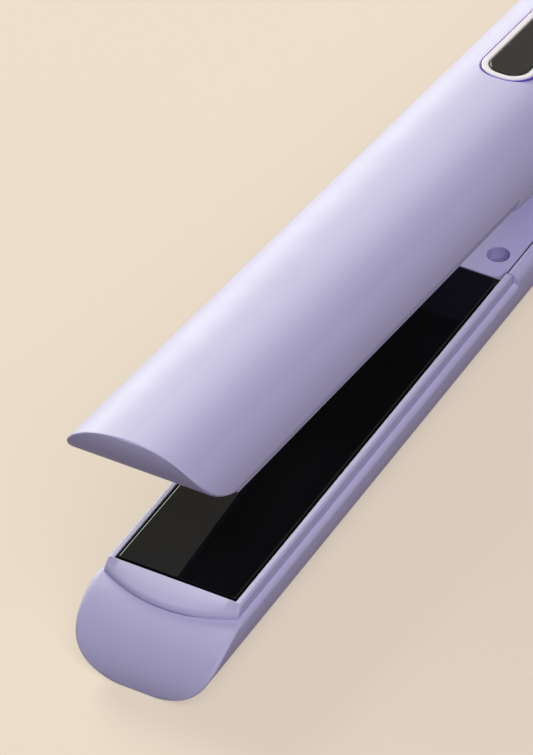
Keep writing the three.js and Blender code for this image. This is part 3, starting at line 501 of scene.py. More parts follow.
def oval_levels(sizes, count):
    """Levels from the back land to the rim, evenly spaced round the oval section."""
    power = 2 / sizes.oval_power
    last = asin((sizes.depth / oval_depth(sizes)) ** (1 / power))
    turns = [last * (1 - i / count) for i in range(1, count)]
    inner = [-oval_depth(sizes) * sin(turn) ** power for turn in turns]
    return [-sizes.depth] + inner + [0.0]


def oval_half(z, sizes, wall=0.0):
    """Half width of the oval section at a level below the rim, drawn in by a wall."""
    share = min(1.0, -min(z, 0.0) / (oval_depth(sizes) - wall))
    return (sizes.half_width - wall) * (1 - share ** sizes.oval_power) ** (1 / sizes.oval_power)


def back_height(y, sizes):
    """Height of the shell's back at a distance from the middle plane."""
    share = min(1.0, abs(y) / sizes.half_width)
    oval = oval_depth(sizes) * (1 - share ** sizes.oval_power) ** (1 / sizes.oval_power)
    return -min(sizes.depth, oval)


def tip_front(z, sizes):
    """The end face's profile leaves the rim level and ends upright at the back."""
    share = 1 + min(z, 0.0) / sizes.depth
    fullness = (1 - share ** sizes.tip_power) ** (1 / sizes.tip_power)
    face = -sizes.tip_start - sizes.tip_length * fullness
    height = min(z + sizes.depth, sizes.land_edge)
    edge = sizes.land_edge
    return face + edge - sqrt(edge ** 2 - (edge - height) ** 2)


def tip_height(x, sizes):
    """Height of the end face at a distance from the recess."""
    ahead = min(max(-x - sizes.tip_start, 0.0), sizes.tip_length)
    share = (1 - (ahead / sizes.tip_length) ** sizes.tip_power) ** (1 / sizes.tip_power)
    return (share - 1) * sizes.depth


def corner_radius(z, sizes):
    """The corner between the end face and the sides grows from the back to the rim."""
    share = 1 + z / sizes.depth
    return sizes.land_edge + (sizes.tip_corner - sizes.land_edge) * share ** 2


def tail_end(z, sizes, wall=0.0):
    """The tail is round about the hinge axis."""
    axis = hinge_local()
    radius = axis.z + sizes.depth - wall
    return axis.x + sqrt(max(0.0, radius ** 2 - (z - axis.z) ** 2))


def plan(z, front, rear, half, front_round, rear_round, steps=8, stations=23):
    """Level outline of a long rounded rectangle, counterclockwise from above."""
    corners = (
        (rear - rear_round, rear_round - half, rear_round, -90),
        (rear - rear_round, half - rear_round, rear_round, 0),
        (front + front_round, half - front_round, front_round, 90),
        (front + front_round, front_round - half, front_round, 180),
    )
    runs = []
    for x, y, radius, start in corners:
        turns = [radians(start + 90 * i / steps) for i in range(steps + 1)]
        runs.append([Vector((x + radius * cos(t), y + radius * sin(t), z)) for t in turns])
    ring = []
    for k, run in enumerate(runs):
        ring += run
        ahead = runs[(k + 1) % 4][0]
        extra = stations if k in (1, 3) else 5
        ring += [run[-1].lerp(ahead, (i + 1) / (extra + 1)) for i in range(extra)]
    return ring


def bow_front(y, bow, sizes):
    return -bow + sizes.bow_radius - sqrt(sizes.bow_radius ** 2 - y ** 2)


def bowed(half, bow, rear, sizes, steps=28):
    """Outline of the plate frame, whose front edge bows forward: its front and its whole."""
    corner = sizes.bow_corner
    reach = half - corner
    bend = []
    for i in range(6):
        angle = radians(15 * i)
        bend.append((bow_front(reach, bow, sizes) + corner * (1 - sin(angle)),
                     reach + corner * cos(angle)))
    arc = [(bow_front(y, bow, sizes), y)
           for y in (reach * (1 - 2 * i / steps) for i in range(steps + 1))]
    front = bend + arc + [(x, -y) for x, y in reversed(bend)]
    fold = -sizes.frame_brow
    side = [fold + (rear - fold) * (1 - i / 12) for i in range(13)]
    left = [(x, half) for x in side]
    right = [(x, -half) for x in reversed(side)]
    return front, left + front + right


def frame_top(x, y, sizes):
    """The frame's top is level beside the plate and falls toward its bowed front edge."""
    fold = -sizes.frame_brow
    front = bow_front(y, sizes.frame_bow, sizes)
    low = tip_height(front, sizes) + sizes.frame_step
    return FRAME_RISE - (FRAME_RISE - low) * min(1.0, max(0.0, (fold - x) / (fold - front)))


def flared(outline, surface, floor, top, radius, up=1):
    """Cutter for a pocket whose mouth is rounded where it meets the surface.

    outline(grow) gives the pocket's (x, y) points, surface(x, y) the height of the skin there.
    """
    rings = [[Vector((x, y, floor)) for x, y in outline(0)]]
    for grow, drop in quarter_round(radius, 4):
        rings.append([Vector((x, y, surface(x, y) - up * drop)) for x, y in outline(grow)])
    rings.append([Vector((x, y, top)) for x, y in outline(radius)])
    return loft("pocket", rings)


def flat(ring):
    return [(point.x, point.y) for point in ring]


# ----------------------------------------------------------------------------------------------
# Outer shell
# ----------------------------------------------------------------------------------------------

def rail_end(sizes):
    return RECESS_LENGTH + sizes.overrun


def frame_half(sizes):
    return recess_half(sizes) + sizes.frame_wall


def cover_floor(sizes):
    return FRAME_RISE - sizes.cover_thick


def screw_places(sizes):
    front = RECESS_LENGTH + sizes.screw_x
    return {
        "left": (front, sizes.screw_y),
        "right": (front, -sizes.screw_y),
        "rear": (hinge_local().x - sizes.rear_screw, 0.0),
    }


def shell_outside(sizes):
    """Oval body from the back land to the rim, and the rounded shoulder above it."""
    rings = []
    for z in oval_levels(sizes, 56):
        half = oval_half(z, sizes)
        tip = min(corner_radius(z, sizes), half - sizes.gap)
        tail = min(sizes.tail_corner, half - sizes.gap)
        rings.append(plan(z, tip_front(z, sizes), tail_end(z, sizes), half, tip, tail))
    for i in range(1, 9):
        turn = radians(90 * i / 8)
        z = FRAME_RISE * sin(turn)
        half = sizes.half_width - sizes.shoulder_inset * (1 - cos(turn))
        rings.append(plan(z, tip_front(0.0, sizes), tail_end(z, sizes), half, sizes.tip_corner,
                          sizes.tail_corner))
    return loft("shell", rings)


def rim_cutter(sizes):
    """Takes the shoulder away beside the plate and rounds the rim there."""
    radius = sizes.rim_round
    inner = sizes.half_width - radius
    bend = []
    for i in range(7):
        angle = radians(15 * i)
        bend.append((inner + radius * sin(angle), radius * (cos(angle) - 1)))
    far = 2 * sizes.half_width
    section = [(-y, z) for y, z in reversed(bend)] + bend
    section += [(far, -radius), (far, 2 * FRAME_RISE), (-far, 2 * FRAME_RISE), (-far, -radius)]
    ends = (-2 * sizes.tip_length, rail_end(sizes) + sizes.gap)
    return loft("rim", [[(x, y, z) for y, z in section] for x in ends])


def shell_cavity(sizes, wall):
    """The hollow, as deep as a wall leaves it."""
    side = sizes.side_wall * wall / sizes.wall
    rings = []
    for z in spread(wall - sizes.depth, cover_floor(sizes), 14):
        half = min(sizes.half_width - side, oval_half(z, sizes, wall))
        corner = min(sizes.tail_corner - wall, half - sizes.gap)
        roof = min(0.0, z + sizes.frame_foot + sizes.gap) - sizes.hollow_reach
        front = max(roof, tip_front(max(z - wall, -sizes.depth), sizes) + 2 * wall)
        rings.append(plan(z, front, tail_end(z, sizes, wall), half,
                          min(sizes.tip_corner, corner), corner))
    return loft("cavity", rings)


def cover_pocket(sizes):
    rear = tail_end(0.0, sizes, sizes.wall) + sizes.seam
    corner = sizes.tail_corner - sizes.wall

    def outline(grow):
        half = sizes.cover_half + sizes.seam + grow
        return flat(plan(0, RECESS_LENGTH, rear + grow, half, sizes.gap, corner + grow))

    return flared(outline, lambda x, y: FRAME_RISE, cover_floor(sizes) - sizes.gap,
                  2 * FRAME_RISE, sizes.mouth_round)


def frame_pocket(sizes):
    rear = rail_end(sizes) + sizes.gap

    def outline(grow):
        room = sizes.frame_gap + grow
        return bowed(frame_half(sizes) + room, sizes.frame_bow + room, rear, sizes)[1]

    return flared(outline, lambda x, y: tip_height(x, sizes), -sizes.frame_foot - sizes.gap,
                  2 * FRAME_RISE, sizes.frame_mouth)


def tail_wedge(sizes):
    """What is cut away behind the hinge axis, so that the tails close up as the arms open."""
    axis = hinge_local()
    far = 4 * sizes.depth
    top = axis.z - sizes.gap / 2
    fall = far * tan(OPEN_ANGLE / 2)
    section = [(axis.x, top), (axis.x + far, top - fall), (axis.x + far, far), (axis.x, far)]
    width = 2 * sizes.half_width
    return loft("wedge", [[(x, y, z) for x, z in section] for y in (-width, width)])


def cap_pockets(sizes, details):
    radius = details.cap_radius + sizes.turn_gap
    axis = hinge_local()
    far = 2 * sizes.half_width
    lip = sizes.mouth_round
    profile = [(0, sizes.cover_half), (radius, sizes.cover_half)]
    profile += [(radius + grow, sizes.half_width - drop) for grow, drop in quarter_round(lip, 3)]
    profile += [(radius + lip, far), (0, far)]
    other = [(r, -y) for r, y in profile]
    return [turned("pocket", side, "y", axis, 96) for side in (profile, other)]


def bush_notches(arm, sizes, details):
    """The upper arm turns round the bush, so its notch is drawn out."""
    shares, radius = (0,), details.bush_radius + sizes.gap
    if arm == "upper":
        shares, radius = (0, 0.5, 1), details.turn_notch
    tools = []
    for share in shares:
        tool = rod("x", details.gland_inner, 4 * sizes.depth, radius)
        turn = Matrix.Rotation(share * OPEN_ANGLE, 4, "Y")
        tool.data.transform(Matrix.Translation(hinge_local()) @ turn)
        tools.append(tool)
    return tools


def shell_furniture(sizes):
    """Ribs under the heater tray and bosses for the cover's screws."""
    floor = sizes.wall / 2 - sizes.depth
    body, *blocks = [cuboid(x, x + sizes.rib_width, -sizes.rib_half, sizes.rib_half, floor,
                            -sizes.rib_top) for x in RIB_PLACES]
    top = FRAME_RISE - sizes.well_depth - sizes.well_wall - sizes.gap
    blocks += [rod("z", floor, top, sizes.well_radius, (x, y, 0), 24)
               for x, y in screw_places(sizes).values()]
    join(body, *blocks)
    return combine(body, [shell_cavity(sizes, sizes.wall / 2)], "INTERSECT")


def slot_outline(inset, details):
    """Outline of the display ring, drawn in."""
    front = details.ring_front + inset
    rear = details.ring_front + details.ring_length - inset
    corner = details.ring_corner - inset
    return flat(plan(0, front, rear, details.ring_half - inset, corner, corner, 10, 11))


def glass_floor(sizes, details):
    return details.glass_thick - sizes.depth


def display_cutters(sizes, details):
    """Pocket of the ring, window below the glass and the holes of the buttons."""
    far = -2 * sizes.depth

    def skin(x, y):
        return back_height(y, sizes)

    pocket = flared(lambda grow: slot_outline(-sizes.gap - grow, details), skin,
                    glass_floor(sizes, details) + sizes.gap, far, sizes.mouth_round, up=-1)
    inset = details.ring_band + sizes.gap + details.ledge
    window = loft("window", [[(x, y, z) for x, y in slot_outline(inset, details)]
                             for z in (far, 2 * sizes.wall - sizes.depth)])
    tools = [pocket, window]
    for index in range(3):
        centre = button_x(index, details)

        def outline(grow, centre=centre):
            radius = details.button_radius + sizes.gap + grow
            turns = [2 * pi * i / 72 for i in range(72)]
            return [(centre + radius * cos(t), radius * sin(t)) for t in turns]

        tools.append(flared(outline, skin, 2 * sizes.wall - sizes.depth, far, sizes.mouth_round,
                            up=-1))
    return tools


def make_shell(arm, sizes, details):
    body = shell_outside(sizes)
    cut(body, rim_cutter(sizes), shell_cavity(sizes, sizes.wall), cover_pocket(sizes),
        frame_pocket(sizes))
    join(body, shell_furniture(sizes))
    cut(body, tail_wedge(sizes), *cap_pockets(sizes, details), *bush_notches(arm, sizes, details))
    if arm == "upper":
        cut(body, *display_cutters(sizes, details))
    body.name = f"{arm}_outer_shell"
    seat(smooth(body), arm)
    deliver(body, "lilac_body", f"{arm}_shell")


# ----------------------------------------------------------------------------------------------
# Plate frame and heating plate
# ----------------------------------------------------------------------------------------------

def recess_half(sizes):
    return sizes.plate_width / 2 + sizes.plate_margin


def recess_floor(sizes):
    return FRAME_RISE + sizes.plate_proud - sizes.plate_skin - sizes.plate_room


def frame_block(sizes):
    """Plate frame before it is hollowed: a wall with a rounded edge, and a top with a fold.

    The ring of points where the edge ends is joined to a fold: behind the fold the top is
    level, ahead of it one strip after another falls to the bowed front.
    """
    half, rear = frame_half(sizes), rail_end(sizes)
    edge = quarter_round(sizes.frame_edge, 6)
    points = [(x, y, -sizes.frame_foot)
              for x, y in bowed(half, sizes.frame_bow, rear, sizes)[1]]
    count = len(points)
    for inset, drop in edge:
        front, around = bowed(half - inset, sizes.frame_bow - inset, rear, sizes)
        points += [(x, y, frame_top(x, y, sizes) - drop) for x, y in around]
    faces = [tuple(range(count))]
    last = len(edge) * count
    for low in range(0, last, count):
        faces += [(low + i, low + (i + 1) % count, low + count + (i + 1) % count, low + count + i)
                  for i in range(count)]
    left = last + (count - len(front)) // 2 - 1
    right = left + len(front) + 1
    fold = (left, *range(len(points), len(points) + len(front) - 2), right)
    points += [(-sizes.frame_brow, y, FRAME_RISE) for x, y in front[1:-1]]
    faces += [(left + 1 + i, left + 2 + i, fold[i + 1], fold[i]) for i in range(len(front) - 1)]
    faces.append((*range(last, left), *fold, *range(right + 1, last + count)))
    return new_piece("frame", points, faces)


def make_plate_frame(arm, sizes):
    past = sizes.wall
    back = rail_end(sizes) + past

    def outline(grow):
        side = recess_half(sizes) + grow
        return [(back, -side), (back, side), (-grow, side), (-grow, -side)]

    recess = flared(outline, lambda x, y: FRAME_RISE, recess_floor(sizes), 2 * FRAME_RISE,
                    sizes.frame_mouth)
    under = -sizes.frame_foot - past
    well = cuboid(sizes.well_margin, RECESS_LENGTH - sizes.well_margin, -sizes.well_half,
                  sizes.well_half, under, FRAME_RISE)
    slot = cuboid(-sizes.slot_reach, back, -sizes.slot_half, sizes.slot_half, under,
                  sizes.slot_top)
    body = frame_block(sizes)
    cut(body, recess, well, slot)
    body.name = f"{arm}_plate_surround"
    seat(smooth(body), arm)
    deliver(body, "lilac_frame", f"{arm}_plate_frame")
    make_plate_gap_shade(arm, sizes)


def make_plate_gap_shade(arm, sizes):
    """Thin dark sheet on the walls of the plate's recess: painted shade in the gap round the plate.
    """
    play = sizes.frame_gap / 2
    low, high = recess_floor(sizes) + play, FRAME_RISE - sizes.gap_shade_drop
    rings = []
    for inset, z in ((play, low), (play, high), (play + sizes.gap_shade_wall, high),
                     (play + sizes.gap_shade_wall, low)):
        front, rear = inset, RECESS_LENGTH - inset
        half = recess_half(sizes) - inset
        rings.append([(front, -half, z), (rear, -half, z), (rear, half, z), (front, half, z)])
    gap_shade = loft(f"{arm}_plate_gap_shade", rings, closed=True)
    seat(smooth(gap_shade), arm)
    # The dark tray finish here paints the shade of the gap round the plate.
    gap_shade.data.materials.append(FINISHES["tray"]())
    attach(gap_shade, body_of(frame["nodes"][f"{arm}_plate_frame"])[0])


def make_seam_gap_shades(arm, sizes):
    """Thin dark strips down in the seams beside the inner cover: painted shade of the seams."""
    inner = sizes.cover_half + sizes.gap_shade_play
    outer = sizes.cover_half + sizes.seam - sizes.gap_shade_play
    rear = hinge_local().x - sizes.seam_end
    for name, sign in (("left", 1), ("right", -1)):
        low, high = sorted((sign * inner, sign * outer))
        strip = cuboid(RECESS_LENGTH + sizes.seam, rear, low, high, cover_floor(sizes),
                       FRAME_RISE - sizes.seam_drop)
        strip.name = f"{arm}_{name}_seam_gap_shade"
        seat(smooth(strip), arm)
        # The dark tray finish here paints the shade of the seam.
        strip.data.materials.append(FINISHES["tray"]())
        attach(strip, body_of(frame["nodes"][f"{arm}_inner_cover"])[0])


def make_heating_plate(arm, sizes):
    start = sizes.plate_margin
    end = start + sizes.plate_length
    top = FRAME_RISE + sizes.plate_proud
    skin_floor = top - sizes.plate_skin
    ends = sizes.plate_ends / sizes.plate_round

    def level(z, inset):
        return plan(z, start + ends * inset, end - ends * inset, sizes.plate_width / 2 - inset,
                    sizes.plate_front_corner, sizes.plate_rear_corner, 5, 3)

    edge = quarter_round(sizes.plate_round, 6)
    body = loft("plate", [level(skin_floor, 0)] + [level(top - drop, inset) for inset, drop in edge])
    core_floor = skin_floor - sizes.plate_core
    middle = skin_floor + sizes.plate_skin / 2
    core = cuboid(sizes.core_margin, RECESS_LENGTH - sizes.core_margin, -sizes.core_half,
                  sizes.core_half, core_floor, middle)
    rails = [cuboid(sizes.rail_margin, RECESS_LENGTH - sizes.rail_margin, y, y + sizes.rail_width,
                    core_floor - sizes.rail_height, core_floor + sizes.rail_root)
             for y in (-sizes.rail_side - sizes.rail_width, sizes.rail_side)]
    spans = ((-sizes.tongue_reach, sizes.tongue_root, sizes.front_tongue),
             (RECESS_LENGTH - sizes.tongue_root, RECESS_LENGTH + sizes.tongue_reach,
              sizes.rear_tongue))
    tongues = [cuboid(first, last, -sizes.tongue_half, sizes.tongue_half,
                      high - sizes.tongue_thick, high) for first, last, high in spans]
    join(body, core, *rails, *tongues)
    body.name = f"{arm}_plate"
    seat(smooth(body, 20), arm)
    deliver(body, "plate_coating", f"{arm}_heating_plate")


# ----------------------------------------------------------------------------------------------
# Inner cover and its screws
# ----------------------------------------------------------------------------------------------

def cover_outline(z, inset, sizes):
    """Outline of the inner cover, stepped where the frame's rails end."""
    front = RECESS_LENGTH + inset
    rear = tail_end(0.0, sizes, sizes.wall) - inset
    step = rail_end(sizes) + 2 * sizes.gap + inset
    nose = sizes.nose_half - inset
    half = sizes.cover_half - inset
    corner = sizes.tail_corner - sizes.wall
    ring = []
    for i in range(13):
        angle = radians(180 + 90 * i / 12)
        ring.append((front + sizes.nose_corner * (1 + cos(angle)),
                     -nose + sizes.nose_corner * (1 + sin(angle))))
    ring += [(step, -nose), (step, -half)]
    for i in range(13):
        angle = radians(-90 + 90 * i / 12)
        ring.append((rear + corner * (cos(angle) - 1), -half + corner * (sin(angle) + 1)))
    mirrored = [(x, -y) for x, y in reversed(ring)]
    return [Vector((x, y, z)) for x, y in ring + mirrored]


def knuckles(start, end, radius, edge=0.0):
    """Hinge knuckles on both sides of the middle plane."""
    tools = []
    for side in (1, -1):
        profile = [(0, start), (radius - edge, start), (radius, start + edge),
                   (radius, end - edge), (radius - edge, end), (0, end)]
        profile = [(r, side * y) for r, y in dict.fromkeys(profile)]
        tools.append(turned("knuckle", profile, "y", hinge_local(), 72))
    return tools


def make_inner_cover(arm, sizes, details):
    rings = [cover_outline(cover_floor(sizes), 0, sizes)]
    rings += [cover_outline(FRAME_RISE - drop, inset, sizes)
              for inset, drop in quarter_round(sizes.cover_round, 3)]
    body = loft("cover", rings)
    axis = hinge_local()
    radius = details.knuckle_radius
    bay_end = details.spring_bay - sizes.gap
    bay = rod("y", -bay_end, bay_end, radius + sizes.turn_gap, axis)
    room_half = details.flange_radius + 2 * sizes.turn_gap
    room = cuboid(axis.x + radius + sizes.turn_gap, axis.x + 4 * sizes.depth, -room_half,
                  room_half, -2 * FRAME_RISE, 4 * FRAME_RISE)
    cut(body, tail_wedge(sizes), *cap_pockets(sizes, details), room, bay)
    well_floor = FRAME_RISE - sizes.well_depth
    well_bottom = well_floor - sizes.well_wall
    places = screw_places(sizes).values()
    join(body, *[rod("z", well_bottom, FRAME_RISE - sizes.cover_thick / 2,
                     sizes.well_radius + sizes.well_wall, (x, y, 0)) for x, y in places])
    for x, y in places:

        def outline(grow, x=x, y=y):
            around = [2 * pi * i / 64 for i in range(64)]
            reach = sizes.well_radius + grow
            return [(x + reach * cos(t), y + reach * sin(t)) for t in around]

        cup = flared(outline, lambda x, y: FRAME_RISE, well_floor, 2 * FRAME_RISE,
                     sizes.mouth_round)
        hole = rod("z", well_bottom - sizes.wall, well_floor + sizes.gap, SCREW_BORE, (x, y, 0), 24)
        cut(body, cup, hole)
    inner_end = details.spring_bay + details.knuckle_width
    outer_start = inner_end + details.knuckle_gap
    outer_end = outer_start + details.knuckle_width
    half_gap = details.knuckle_gap / 2
    own, other = (details.spring_bay, inner_end), (inner_end + half_gap, outer_end + half_gap)
    if arm == "upper":
        own, other = (outer_start, outer_end), (details.spring_bay - half_gap, inner_end + half_gap)
    cut(body, *knuckles(*other, radius + sizes.turn_gap))
    join(body, *knuckles(*own, radius, sizes.cover_round))
    cut(body, rod("y", -sizes.half_width, sizes.half_width, details.pin_radius + sizes.gap, axis))
    body.name = f"{arm}_handle_cover"
    seat(smooth(body), arm)
    deliver(body, "lilac_cover", f"{arm}_inner_cover")


def make_cover_screw(arm, side, sizes):
    """Pan head screw with a cross recess."""
    x, y = screw_places(sizes)[side]
    head, head_height, head_break = 1.9 * MM, 1.3 * MM, 0.08 * MM
    dome, dome_fullness = 0.55 * MM, 0.6
    shank, root = 1.1 * MM, 0.9 * MM
    tip_radius, tip_taper = 0.45 * MM, 1 * MM
    whole_length, turns = 6 * MM, 6
    plain_tip, plain_neck = 1.2 * MM, 0.2 * MM
    cross_half, cross_floor_half = 1.15 * MM, 0.46 * MM
    cross_line, cross_depth, cross_turn = 0.26 * MM, 0.8 * MM, 0.3
    base = FRAME_RISE - sizes.well_depth + sizes.gap
    top = base + head_height
    tip = top - whole_length
    profile = [(0, tip), (tip_radius, tip), (shank, tip + tip_taper)]
    pitch = (base - tip - plain_tip - plain_neck) / turns
    for i in range(turns):
        start = tip + plain_tip + i * pitch
        profile += [(shank, start), (root, start + 0.35 * pitch),
                    (root, start + 0.5 * pitch), (shank, start + 0.85 * pitch)]
    profile += [(shank, base), (head - head_break, base), (head, base + head_break)]
    for i in range(9):
        angle = radians(90 * i / 8)
        profile.append((head * cos(angle) ** dome_fullness, top - dome * (1 - sin(angle))))
    profile.append((0, top))
    body = turned("screw", profile, "z", (x, y, 0), 48)
    tools = []
    for turn in (cross_turn, cross_turn + pi / 2):
        levels = ((cross_floor_half, top - cross_depth), (cross_half, top + dome))
        slot = loft("slot", [[(reach, -cross_line, z), (reach, cross_line, z),
                              (-reach, cross_line, z), (-reach, -cross_line, z)]
                             for reach, z in levels])
        slot.data.transform(Matrix.Translation((x, y, 0)) @ Matrix.Rotation(turn, 4, "Z"))
        tools.append(slot)
    cut(body, *tools)
    body.name = f"{arm}_cover_screw_{side}"
    seat(smooth(body, 35), arm)
    deliver(body, "screw_steel", f"{arm}_screw_{side}")


# ----------------------------------------------------------------------------------------------
# Hinge and cord outlet
# ----------------------------------------------------------------------------------------------

def rounded_profile(points, radius, steps=4):
    """Breaks the corners of a (radius, place) profile with small rounds, its ends excepted."""
    made = [points[0]]
    for before, corner, after in zip(points, points[1:], points[2:]):
        corner, back, ahead = Vector(corner), Vector(before), Vector(after)
        first, second = back - corner, ahead - corner
        reach = min(radius, first.length / 2.2, second.length / 2.2)
        start = corner + first.normalized() * reach
        end = corner + second.normalized() * reach
        for i in range(steps + 1):
            share = i / steps
            spot = start.lerp(corner, share).lerp(corner.lerp(end, share), share)
            made.append((spot.x, spot.y))
    made.append(points[-1])
    return made


def make_hinge_cap(side, details):
    """Dished cap with a shallow groove, over one end of the pin."""
    face = CAP_BOX[1].y
    inner = face - details.cap_thick
    radius = details.cap_radius
    bevel, bevel_drop, edge_break = 0.6 * MM, 0.35 * MM, 0.22 * MM
    groove_depth, dish_edge, dish_depth = 0.25 * MM, 0.02 * MM, 0.12 * MM
    groove_outer, groove_inner, groove_slope = 0.78 * radius, 0.64 * radius, 0.04 * radius
    outline = [(0, inner), (radius, inner), (radius, face - bevel_drop), (radius - bevel, face),
               (groove_outer, face), (groove_outer - groove_slope, face - groove_depth),
               (groove_inner + groove_slope, face - groove_depth),
               (groove_inner, face - dish_edge), (0, face - dish_depth)]
    profile = rounded_profile(outline, edge_break)
    if side == "right":
        profile = [(r, -y) for r, y in profile]
    cap = turned(f"{side}_pin_cap", profile, "y", (HINGE_POINT.x, 0, HINGE_POINT.z), 128)
    deliver(smooth(cap, 40), "lilac_frame", f"hinge_cap_{side}")


def make_hinge_pin(sizes, details):
    half = CAP_BOX[1].y - details.cap_thick - sizes.gap
    end_round = 0.35 * MM
    outline = [(0, -half), (details.pin_radius, -half), (details.pin_radius, half), (0, half)]
    pin = turned("pin", rounded_profile(outline, end_round), "y", HINGE_POINT, 48)
    pin.name = "hinge_axle"
    deliver(smooth(pin, 40), "screw_steel", "hinge_pin")


def make_gland_bush(sizes, details):
    low, high = (corner.x - HINGE_POINT.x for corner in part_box("gland_bush"))
    thick = details.flange_thick
    bore = details.journal_radius + sizes.gap
    outline = [(bore, (low + high) / 2), (bore, low), (details.flange_radius, low),
               (details.flange_radius, low + thick), (details.bush_radius, low + thick),
               (details.bush_radius, high - thick), (details.flange_radius, high - thick),
               (details.flange_radius, high), (bore, high), (bore, (low + high) / 2)]
    profile = rounded_profile(outline, details.turned_break)[:-1]
    bush = turned("bush", profile, "x", HINGE_POINT, 96)
    bush.name = "tail_bush"
    deliver(smooth(bush, 40), "gland", "gland_bush")


def make_cord_gland(sizes, details):
    """Hollow swivel with grip flutes round its head."""
    low, high = (corner.x - HINGE_POINT.x for corner in GLAND_BOX)
    clip_low, clip_high = (corner.x - HINGE_POINT.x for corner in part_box("gland_clip"))
    head_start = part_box("gland_bush")[1].x - HINGE_POINT.x + sizes.gap
    journal = details.journal_radius
    groove = journal - details.clip_groove
    bore = details.cord_bore
    middle = (low + high) / 2
    outline = [(bore, middle), (bore, low), (journal, low), (journal, clip_low - sizes.gap),
               (groove, clip_low - sizes.gap), (groove, clip_high + sizes.gap),
               (journal, clip_high + sizes.gap), (journal, head_start),
               (details.gland_head, head_start),
               (details.gland_head, head_start + details.gland_straight),
               (details.gland_nose, high - details.nose_bevel),
               (details.gland_nose - details.nose_bevel, high), (bore, high), (bore, middle)]
    profile = rounded_profile(outline, details.turned_break)[:-1]
    gland = turned("gland", profile, "x", HINGE_POINT, 128)
    reach = details.gland_head + details.flute_offset
    flutes = []
    for i in range(16):
        angle = 2 * pi * i / 16
        spot = Vector((0, reach * cos(angle), reach * sin(angle)))
        flutes.append(rod("x", head_start + details.flute_start, high - details.flute_end,
                          details.flute_radius, HINGE_POINT + spot, 20))
    cut(gland, *flutes)
    gland.name = "cord_outlet"
    deliver(smooth(gland, 40), "gland", "cord_gland")


# ----------------------------------------------------------------------------------------------
# Display and buttons
# ----------------------------------------------------------------------------------------------

def button_x(index, details):
    first = details.ring_front + details.ring_length + details.button_start
    return first + index * details.button_pitch


def band(name, section, sizes, details):
    """Closed band round the display: section is (inset, height above the back land) pairs."""
    rings = []
    for inset, height in section:
        outline = slot_outline(inset, details)
        rings.append([(x, y, -sizes.depth - height) for x, y in outline])
    return loft(name, rings, closed=True)


def make_display_ring(sizes, details):
    low = -details.glass_thick
    high = details.ring_proud
    width = details.ring_band
    edge = quarter_round(details.ring_round, 6)
    outer = [(inset, high - drop) for inset, drop in edge]
    inner = [(width - inset, high - drop) for inset, drop in reversed(edge)]
    ring = band("display_bezel", [(0, low)] + outer + inner + [(width, low)], sizes, details)
    seat(smooth(ring, 40), "upper")
    deliver(ring, "display_ring", "display_ring")


def make_display_ring_shade(sizes, details):
    """Thin deep violet band in the gap between the ring and the shell: painted shade of the gap."""
    low = -details.glass_thick + sizes.gap / 2
    inner = -details.ring_shade_play
    outer = inner - details.ring_shade_width
    shoulder, top, bevel = -details.ring_shade_shoulder, -details.ring_shade_drop, details.ring_shade_bevel
    section = [(inner, low), (outer, low), (outer, shoulder), (outer + bevel, top),
               (inner - bevel, top), (inner, shoulder)]
    ring_shade = band("display_ring_shade", section, sizes, details)
    seat(smooth(ring_shade, 40), "upper")
    ring_shade.data.materials.append(display_ring_shade())
    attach(ring_shade, "upper_arm")


def make_glass_shade_line(sizes, details):
    """Black band that shows as a line between the ring and the glass: painted shade of the gap."""
    inner = details.ring_band + sizes.gap_shade_play
    outer = details.ring_band + sizes.gap - sizes.gap_shade_play
    low = -details.glass_thick + sizes.gap / 2
    high = -details.shade_line_drop
    section = [(inner, low), (inner, high), (outer, high), (outer, low)]
    shade_line = band("display_shade_line", section, sizes, details)
    seat(smooth(shade_line, 40), "upper")
    # The dark tray finish here paints the shade of the gap round the glass.
    shade_line.data.materials.append(FINISHES["tray"]())
    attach(shade_line, "upper_arm")


def make_display_glass(sizes, details):
    """Window with a rounded edge."""
    start = details.ring_band + sizes.gap
    floor = glass_floor(sizes, details)
    rings = [[(x, y, floor) for x, y in slot_outline(start, details)]]
    for inset, drop in quarter_round(details.glass_round, 4):
        outline = slot_outline(start + inset, details)
        rings.append([(x, y, drop - sizes.depth) for x, y in outline])
    glass = loft("display_window", rings)
    seat(smooth(glass), "upper")
    deliver(glass, "display_glass", "display_glass")


def mark_tools(kind, x, face, details):
    """Sunken sign of a button: a broken circle with a bar, a plus or a minus."""
    line = details.mark_line / 2
    half = details.mark_half
    low, high = face + details.mark_depth, face - details.mark_depth
    bar_across = cuboid(x - line, x + line, -half, half, high, low)
    if kind == "minus":
        return [bar_across]
    bar_along = cuboid(x - half, x + half, -line, line, high, low)
    if kind == "plus":
        return [join(bar_across, bar_along)]
    bpy.data.objects.remove(bar_across)
    bpy.data.objects.remove(bar_along)
    count = 28
    opening = radians(40)  # half the break in the circle
    rings = []
    for i in range(count + 1):
        angle = opening + 2 * (pi - opening) * i / count
        spoke = Vector((cos(angle), sin(angle), 0))
        rings.append([Vector((x, 0, z)) + spoke * r
                      for r, z in ((half - line, low), (half + line, low),
                                   (half + line, high), (half - line, high))])
    stem_start, stem_end = 0.15 * half, 1.25 * half
    stem = cuboid(x + stem_start, x + stem_end, -line, line, high, low)
    return [loft("arc", rings), stem]


